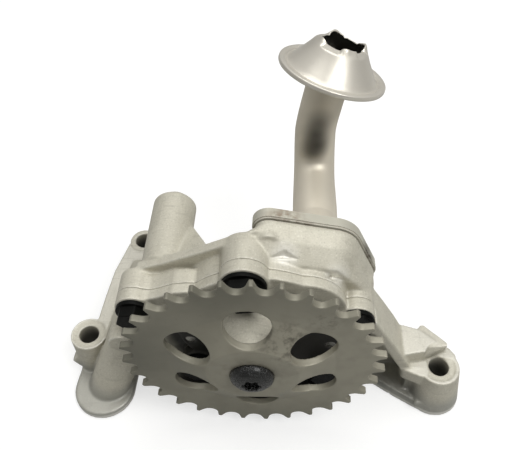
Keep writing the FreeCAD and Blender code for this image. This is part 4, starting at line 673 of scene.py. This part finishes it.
def hull_outline(circles, steps=72):
    """Points round the belt of some circles, each given as across, up and radius."""
    points = []
    for i in range(steps):
        angle = 2.0 * pi * i / steps
        way = np.array((cos(angle), sin(angle)))
        reach = max(circles, key=lambda circle: circle[0] * way[0] + circle[1] * way[1] + circle[2])
        points.append((reach[0] + reach[2] * way[0], reach[1] + reach[2] * way[1]))
    return points


def add_belts(shell, axis, sections):
    """Adds a closed form to the shell that runs through belts of circles along an axis."""
    rings = []
    for level, circles in sections:
        spots = [(x, level, up) if axis == "Y" else (x, up, level) for x, up in hull_outline(circles)]
        rings.append([shell.verts.new(Vector(spot) * MM) for spot in spots])
    faces = [shell.faces.new(rings[0]), shell.faces.new(rings[-1])]
    for low, high in zip(rings, rings[1:]):
        faces += bridge(shell, low, high)
    bmesh.ops.recalc_face_normals(shell, faces=faces)


def curve_through(points, parts=6):
    """Points on a smooth curve through the given ones, which may carry a radius as a fourth number."""
    given = np.array(points, dtype=float)
    padded = np.vstack([2 * given[0] - given[1], given, 2 * given[-1] - given[-2]])
    made = []
    for i in range(1, len(padded) - 2):
        before, here, there, after = padded[i - 1:i + 3]
        for step in range(parts):
            t = step / parts
            bend = 2 * before - 5 * here + 4 * there - after
            twist = 3 * here - before - 3 * there + after
            made.append(0.5 * (2 * here + (there - before) * t + bend * t ** 2 + twist * t ** 3))
    made.append(given[-1])
    return np.array(made)


def pipe_mesh(name, line, wall, around=56):
    """A hollow pipe along a line of points with outer radii, closed at both cut ends."""
    shell = bmesh.new()
    places = line[:, :3] * MM
    ways = np.gradient(places, axis=0)
    ways /= np.linalg.norm(ways, axis=1)[:, None]
    side = np.array((1.0, 0.0, 0.0))
    rings = {"outer": [], "inner": []}
    for place, way, radius in zip(places, ways, line[:, 3] * MM):
        side = side - way * np.dot(side, way)
        side /= np.linalg.norm(side)
        other = np.cross(way, side)
        for key, reach in (("outer", radius), ("inner", radius - wall * MM)):
            rings[key].append([shell.verts.new(place + reach * (cos(a) * side + sin(a) * other))
                               for a in (2.0 * pi * i / around for i in range(around))])
    for key in rings:
        for low, high in zip(rings[key], rings[key][1:]):
            bridge(shell, low, high)
    for end in (0, -1):
        bridge(shell, rings["outer"][end], rings["inner"][end])
    bmesh.ops.recalc_face_normals(shell, faces=shell.faces)
    return mesh_from(shell, name)


def bell_mesh(name, around=192):
    """The pressed bell: its profile turned about the strainer's upright, with a torn, tabbed mouth."""
    outer = curve_through([(r, 0.0, h) for r, h in BELL_PROFILE], 4)[:, (0, 2)]
    slope = np.gradient(outer, axis=0)
    slope /= np.linalg.norm(slope, axis=1)[:, None]
    inner = outer + SHEET * np.stack([-slope[:, 1], slope[:, 0]], axis=1)
    inner[:, 0] = np.minimum(inner[:, 0], outer[:, 0] - SHEET_LEAST)
    inner[:, 1] = np.maximum(inner[:, 1], outer[0, 1])
    top = outer[-1, 1]
    place = Vector(STRAINER_PLACE) * MM
    stand = Vector((0.0, 0.0, 1.0)).rotation_difference(Vector(STRAINER_UP)).to_matrix()
    shell = bmesh.new()
    loops = []
    for radius, height in list(outer) + list(inner[::-1]):
        loop = []
        for i in range(around):
            angle = 2.0 * pi * i / around
            share = max(0.0, (height - MOUTH_START) / (top - MOUTH_START))
            tab = max(0.0, sin(MOUTH_TABS * angle + 0.7)) ** 0.4
            ragged = 0.35 * sin(7.0 * angle + 0.4) + 0.25 * sin(11.0 * angle)
            lift = share * (TAB_RISE * tab - TAB_RISE + 0.5 * ragged)
            bent = radius - share * (TAB_SPREAD * (1.0 - tab) - 0.4 * ragged)
            spot = Vector((bent * cos(angle), bent * sin(angle), height + lift))
            loop.append(shell.verts.new(place + stand @ (spot * MM)))
        loops.append(loop)
    for k, low in enumerate(loops):
        for face in bridge(shell, low, loops[(k + 1) % len(loops)]):
            face.material_index = 1 if k >= len(outer) + 2 else 0
    bmesh.ops.recalc_face_normals(shell, faces=shell.faces)
    return mesh_from(shell, name)


def stand_in(name, mesh, node, materials):
    """Puts a finished mesh in the place of a node, on the node's body."""
    piece = bpy.data.objects.new(name, mesh)
    bpy.context.scene.collection.objects.link(piece)
    for material in materials:
        mesh.materials.append(material)
    for face in mesh.polygons:
        face.use_smooth = True
    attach(piece, frame["nodes"][node]["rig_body"])
    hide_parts(node)


def press_dimples(mesh):
    """Presses thin three-cornered dimples into the neck, straight in from the front and above."""
    outward = Vector((0.1, -0.5, 0.86)).normalized()
    along_way = Vector((0.0, 0.86, 0.5)).normalized()
    for place, across, along, depth in DIMPLES:
        for vertex in mesh.vertices:
            away = vertex.co / MM - Vector(place)
            if abs(away.dot(outward)) > DIMPLE_REACH or vertex.normal.dot(outward) < DIMPLE_FACING:
                continue
            rise = away.dot(along_way) / along
            inside = min(1.0 + rise, 0.5 * (1.0 - rise) - abs(away.x) / across)
            if inside > 0.0:
                vertex.co -= outward * depth * MM * min(1.0, DIMPLE_STEEPNESS * inside)


def softened(node, name, pitch, passes, kept, material, firm=None, belts=(), shape=None):
    """Stands a piece with rounded edges in for a node: an even mesh laid over its solid and any belts
    added to it, smoothed except where firm says that a face was machined, pressed by shape, then thinned
    to the share of its faces kept."""
    base = solid_mesh(node, name)
    if belts:
        shell = bmesh.new()
        shell.from_mesh(base)
        for axis, sections in belts:
            add_belts(shell, axis, sections)
        shell.to_mesh(base)
        shell.free()
    piece = bpy.data.objects.new(name, base)
    bpy.context.scene.collection.objects.link(piece)
    layer = piece.modifiers.new("even mesh", "REMESH")
    layer.mode = "VOXEL"
    layer.voxel_size = pitch
    layer.use_smooth_shade = True
    settle(piece)
    smooth = piece.modifiers.new("rounding", "SMOOTH")
    smooth.factor = 0.5
    smooth.iterations = passes
    if firm is not None:
        points = np.zeros(len(piece.data.vertices) * 3)
        piece.data.vertices.foreach_get("co", points)
        weights = 1.0 - firm(points.reshape(-1, 3) / MM)
        group = piece.vertex_groups.new(name="cast")
        for index in np.flatnonzero(weights > 0.001):
            group.add([int(index)], float(weights[index]), "REPLACE")
        smooth.vertex_group = "cast"
    if shape is not None:
        settle(piece)
        shape(piece.data)
        soft = piece.modifiers.new("soft rims", "SMOOTH")
        soft.factor = 0.5
        soft.iterations = 1
    layer = piece.modifiers.new("thinning", "DECIMATE")
    layer.ratio = kept
    settle(piece)
    piece.vertex_groups.clear()
    for face in piece.data.polygons:
        face.use_smooth = True
    piece.data.materials.clear()
    piece.data.materials.append(material)
    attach(piece, frame["nodes"][node]["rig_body"])
    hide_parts(node)


def firm_housing(points):
    """Near one where the housing was machined: the lugs' bores and their seats, the rotor chamber, the
    parting face and the block face."""
    firm = np.zeros(len(points))
    for across, along in LUGS:
        away = np.hypot(points[:, 0] - across, points[:, 1] - along)
        firm = np.maximum(firm, (away < LUG_BORE + SEAT_REACH) * SEAT_HOLD)
    chamber = np.hypot(points[:, 0], points[:, 2] - CHAMBER_HEIGHT) < CHAMBER_RADIUS
    deep = (points[:, 1] > CHAMBER_FRONT) & (points[:, 1] < CHAMBER_BACK)
    firm = np.maximum(firm, (chamber & deep) * 1.0)
    firm = np.maximum(firm, (np.abs(points[:, 1] - PARTING) < PARTING_REACH) * PARTING_HOLD)
    block = np.abs(points[:, 2] - BLOCK_FACE) < BLOCK_REACH
    return np.maximum(firm, block * BLOCK_HOLD)


def firm_cover(points):
    """Near one where the cover was machined: its shaft bore and its back face."""
    bore = (np.hypot(points[:, 0], points[:, 2]) < SHAFT_REACH) & (points[:, 1] > 0.0)
    back = points[:, 1] > PARTING - PARTING_REACH
    return np.maximum(bore * SHAFT_HOLD, back * PARTING_HOLD)


def dress(node, material):
    """Gives a node whose shape stays as it is a finish of its own."""
    for holder in frame["nodes"][node].material_slots:
        holder.material = material


# One operator for each group of pieces

class PUMP_OT_castings(bpy.types.Operator):
    """Makes the housing and the front cover as blasted castings"""
    bl_idname = "pump.castings"
    bl_label = "Castings"

    def execute(self, context):
        look = context.scene.pump_casting
        softened("pump_housing", "housing_casting", look.voxel, look.rounding, HOUSING_KEPT,
                 casting_finish("blasted_housing", HOLLOW_SHADE_SPOTS + BORE_SHADE_SPOTS),
                 firm_housing, (NECK_BELTS, LUG_PAD) + LUG_PLATES, press_dimples)
        softened("front_cover", "cover_casting", look.voxel, look.rounding, COVER_KEPT,
                 casting_finish("blasted_cover"), firm_cover)
        return {"FINISHED"}


class PUMP_OT_sprocket(bpy.types.Operator):
    """Makes the dished chain sprocket with its blanked edges"""
    bl_idname = "pump.sprocket"
    bl_label = "Chain sprocket"

    def execute(self, context):
        look = context.scene.pump_steel
        softened("drive_sprocket", "sprocket_plate", look.voxel, STEEL_PASSES, PLATE_KEPT,
                 sprocket_finish())
        return {"FINISHED"}


class PUMP_OT_fasteners(bpy.types.Operator):
    """Makes the black bolts, the flange screws and the dowels"""
    bl_idname = "pump.fasteners"
    bl_label = "Fasteners"

    def execute(self, context):
        dark = black_finish("oiled_black_steel", 0.4, 0.0, 1400.0, 0.00008, 0.12)
        glossy = black_finish("oiled_hub_bolt", 0.2, 0.25, 1300.0, 0.0012, 0.6)
        for node, name, pitch, finish in (("cover_bolt_large", "large_cover_bolt", BOLT_PITCH, dark),
                                          ("cover_bolts_small", "small_cover_bolts", BOLT_PITCH, dark),
                                          ("sprocket_bolt", "sprocket_hub_bolt", HUB_BOLT_PITCH, glossy)):
            softened(node, name, pitch, STEEL_PASSES, BOLT_KEPT, finish)
        dress("flange_bolts", plain_metal("plated_screw", linear(176, 172, 158), 0.8, 0.4))
        dress("cover_dowels", plain_metal("ground_dowel", linear(170, 168, 160), 0.9, 0.25))
        return {"FINISHED"}


class PUMP_OT_pickup(bpy.types.Operator):
    """Dresses the pick-up flange, tube, collar and strainer"""
    bl_idname = "pump.pickup"
    bl_label = "Pick-up tube and strainer"

    def execute(self, context):
        look = context.scene.pump_steel
        residue = [((0.010, 0.0383, 0.034), 0.011, 300.0, 0.2, 0.75, linear(118, 86, 58)),
                   ((0.0425, 0.0385, 0.0155), 0.0095, 300.0, 0.3, 0.9, linear(64, 52, 38))]
        # Painted dark reflection up the front of the tube's bend, in dark grey
        streak = [(spot, radius, 60.0, 0.5, share, linear(40, 40, 37))
                  for spot, radius, share in TUBE_REFLECTION]
        dress("suction_flange", sheet_finish("flange_plate", look.flange, 0.5, 1200.0, residue))
        stand_in("drawn_pickup_tube", pipe_mesh("drawn_pickup_tube", curve_through(TUBE_LINE), TUBE_WALL),
                 "suction_tube", [sheet_finish("drawn_tube", look.tube, 0.47, 900.0, streak)])
        dress("tube_collar", sheet_finish("collar_steel", look.tube, 0.4, 1000.0))
        bell = sheet_finish("pressed_bell", look.bell, 0.3, 1100.0)
        # Painted shade inside the bell: a far darker copy of its steel
        inside = plain_metal("bell_inside_shade", linear(34, 34, 31), 0.5, 0.6)
        stand_in("pressed_strainer_bell", bell_mesh("pressed_strainer_bell"), "strainer_bell",
                 [bell, inside])
        dress("strainer_base", sheet_finish("pressed_base", look.bell, 0.36, 1100.0))
        dress("strainer_mesh", plain_metal("wire_mesh", linear(120, 116, 104), 0.8, 0.4))
        return {"FINISHED"}


class PUMP_OT_rotor_set(bpy.types.Operator):
    """Dresses the shaft, its bushes and key, and the two rotors"""
    bl_idname = "pump.rotor_set"
    bl_label = "Rotor set"

    def execute(self, context):
        dress("drive_shaft", plain_metal("ground_shaft", linear(168, 166, 160), 0.95, 0.22))
        bronze = plain_metal("bush_bronze", linear(176, 136, 84), 0.9, 0.35)
        dress("front_bush", bronze)
        dress("rear_bush", bronze)
        dress("shaft_key", plain_metal("key_steel", linear(140, 138, 132), 0.9, 0.35))
        sintered = plain_metal("sintered_rotor", linear(112, 110, 104), 0.7, 0.45, 2400.0, 0.00004)
        dress("inner_rotor", sintered)
        dress("outer_rotor", sintered)
        return {"FINISHED"}


class PUMP_OT_relief_valve(bpy.types.Operator):
    """Dresses the relief piston, its spring and the spring seat"""
    bl_idname = "pump.relief_valve"
    bl_label = "Relief valve"

    def execute(self, context):
        dress("relief_piston", plain_metal("ground_piston", linear(178, 176, 170), 0.95, 0.2))
        dress("relief_spring", plain_metal("spring_wire", linear(92, 90, 84), 0.8, 0.35))
        dress("spring_seat", plain_metal("seat_steel", linear(150, 148, 140), 0.85, 0.35))
        return {"FINISHED"}


class PUMP_OT_seals(bpy.types.Operator):
    """Dresses the flange gasket and the outlet seal"""
    bl_idname = "pump.seals"
    bl_label = "Gasket and seal"

    def execute(self, context):
        residue = [((0.013, 0.038, 0.032), 0.013, 260.0, 0.2, 0.85, linear(84, 58, 36)),
                   ((0.042, 0.038, 0.012), 0.012, 260.0, 0.2, 0.85, linear(70, 54, 38))]
        dress("flange_gasket", sheet_finish("gasket_paper", linear(176, 172, 158), 0.8, 700.0, residue, 0.0))
        dress("outlet_seal", plain_metal("seal_rubber", linear(30, 30, 30), 0.0, 0.6, 700.0, 0.00003))
        return {"FINISHED"}


def area_lamp(name, place, aim, width, power, shine=1.0):
    """A round lamp of a width, aimed at a point."""
    lamp = bpy.data.lights.new(name, "AREA")
    lamp.shape = "DISK"
    lamp.size = width
    lamp.energy = power
    lamp.specular_factor = shine
    holder = bpy.data.objects.new(name, lamp)
    holder.location = place
    holder.rotation_euler = (Vector(aim) - Vector(place)).to_track_quat("-Z", "Y").to_euler()
    bpy.context.scene.collection.objects.link(holder)


def floor_material(look):
    """A floor lifted towards white where the camera sees it, but for a painted dark shadow right under the
    pump.
    """
    material = bpy.data.materials.new("studio_floor")
    material.use_nodes = True
    tree = material.node_tree
    surface = tree.nodes["Principled BSDF"]
    surface.inputs["Roughness"].default_value = 0.9
    surface.inputs["Emission Color"].default_value = (1.0, 1.0, 1.0, 1.0)
    ray = tree.nodes.new("ShaderNodeLightPath").outputs
    place = own_place(tree)
    parts = node_with(tree, "ShaderNodeSeparateXYZ", {0: place})
    across = maths(tree, "ABSOLUTE", parts.outputs[0])
    narrow, wide = (maths(tree, "MULTIPLY", span(tree, parts.outputs[1], *start),
                          span(tree, across, *side, 1.0, 0.0)) for start, side in SHADOW_PATCH_PARTS)
    # Painted shadow under the pump: the floor turns near black there and loses its lift
    under = maths(tree, "MULTIPLY", maths(tree, "MAXIMUM", narrow, wide),
                  span(tree, parts.outputs[1], *SHADOW_PATCH_END, 1.0, 0.0))
    lift = maths(tree, "SUBTRACT", look.lift, maths(tree, "MULTIPLY", under, look.lift))
    tree.links.new(blend(tree, under, tuple(look.floor), linear(6, 6, 5)), surface.inputs["Base Color"])
    tree.links.new(maths(tree, "MULTIPLY", ray["Is Camera Ray"], lift), surface.inputs["Emission Strength"])
    return material


def studio_floor(look):
    """The floor, just under the face that bolts to the engine block."""
    sheet = bpy.data.meshes.new("studio_floor")
    level = BLOCK_FACE * MM - FLOOR_GAP
    corners = [(x * FLOOR_HALF, y * FLOOR_HALF, level) for x, y in ((-1, -1), (1, -1), (1, 1), (-1, 1))]
    sheet.from_pydata(corners, [], [(0, 1, 2, 3)])
    floor = bpy.data.objects.new("studio_floor", sheet)
    sheet.materials.append(floor_material(look))
    bpy.context.scene.collection.objects.link(floor)
    return floor


def studio_sky(look):
    """Light that falls off from above to the sides and is dimmer in front; the camera sees it white."""
    world = bpy.data.worlds.new("studio_sky")
    world.use_nodes = True
    bpy.context.scene.world = world
    tree = world.node_tree
    base = tree.nodes["Background"]
    base.inputs["Color"].default_value = (1.0, 1.0, 1.0, 1.0)
    way = tree.nodes.new("ShaderNodeTexCoord").outputs["Generated"]
    up = measure(tree, "DOT_PRODUCT", way, UP)
    front = measure(tree, "DOT_PRODUCT", way, (0.0, -1.0, 0.0))
    light = span(tree, up, -0.1, 0.95, look.horizon, look.sky)
    lit = maths(tree, "MULTIPLY", light, span(tree, front, 0.5, 0.95, 1.0, look.front))
    ray = tree.nodes.new("ShaderNodeLightPath").outputs
    tree.links.new(maths(tree, "MAXIMUM", lit, ray["Is Camera Ray"]), base.inputs["Strength"])


def viewing_camera(look):
    """The camera at the photo's viewing angle."""
    lens = bpy.data.cameras.new("viewing_camera")
    lens.sensor_fit = "HORIZONTAL"
    lens.sensor_width = 36.0
    lens.lens = look.lens
    lens.clip_start = 0.01
    camera = bpy.data.objects.new("viewing_camera", lens)
    turn = Matrix.Rotation(look.camera_turn, 4, "Z")
    dip = Matrix.Rotation(radians(90.0) - look.camera_dip, 4, "X")
    roll = Matrix.Rotation(look.camera_roll, 4, "Z")
    camera.matrix_world = Matrix.Translation(Vector(look.camera_place)) @ turn @ dip @ roll
    bpy.context.scene.collection.objects.link(camera)
    bpy.context.scene.camera = camera


class PUMP_OT_stage(bpy.types.Operator):
    """Sets up the floor, the lamps, the sky and the camera"""
    bl_idname = "pump.stage"
    bl_label = "Studio"

    def execute(self, context):
        scene = context.scene
        look = scene.pump_studio
        floor = studio_floor(look)
        area_lamp("overhead_lamp", (-0.06, 0.26, 1.15), (0.0, 0.03, 0.0), 0.9, look.key, 0.35)
        area_lamp("window_lamp", (0.5, -0.32, 1.05), (0.02, 0.05, 0.03), 0.55, look.window)
        studio_sky(look)
        viewing_camera(look)
        scene.view_settings.view_transform = "Standard"
        return {"FINISHED"}


class PUMP_PT_sidebar(bpy.types.Panel):
    """Lists the pump's operators and settings"""
    bl_idname = "PUMP_PT_sidebar"
    bl_label = "Oil pump"
    bl_space_type = "VIEW_3D"
    bl_region_type = "UI"
    bl_category = "Oil pump"

    def draw(self, context):
        for operator in OPERATORS:
            self.layout.operator(operator.bl_idname)
        for settings in (context.scene.pump_casting, context.scene.pump_steel, context.scene.pump_studio):
            box = self.layout.box()
            for key in settings.__annotations__:
                box.prop(settings, key)


OPERATORS = (PUMP_OT_stage, PUMP_OT_castings, PUMP_OT_sprocket, PUMP_OT_fasteners, PUMP_OT_pickup,
             PUMP_OT_rotor_set, PUMP_OT_relief_valve, PUMP_OT_seals)
SETTINGS = (("pump_casting", PumpCastingFinish), ("pump_steel", PumpSteelFinish),
            ("pump_studio", PumpStudio))


def register():
    """Registers the settings, the operators and the panel."""
    for name, group in SETTINGS:
        bpy.utils.register_class(group)
        setattr(bpy.types.Scene, name, PointerProperty(type=group))
    for operator in OPERATORS:
        bpy.utils.register_class(operator)
    bpy.utils.register_class(PUMP_PT_sidebar)


def unregister():
    """Takes away all that register added."""
    bpy.utils.unregister_class(PUMP_PT_sidebar)
    for operator in reversed(OPERATORS):
        bpy.utils.unregister_class(operator)
    for name, group in reversed(SETTINGS):
        delattr(bpy.types.Scene, name)
        bpy.utils.unregister_class(group)


def main():
    """Builds the whole scene."""
    register()
    EFFECTS.update(shared_effects())
    bpy.ops.pump.stage()
    bpy.ops.pump.castings()
    bpy.ops.pump.sprocket()
    bpy.ops.pump.fasteners()
    bpy.ops.pump.pickup()
    bpy.ops.pump.rotor_set()
    bpy.ops.pump.relief_valve()
    bpy.ops.pump.seals()


if __name__ == "__main__":
    main()
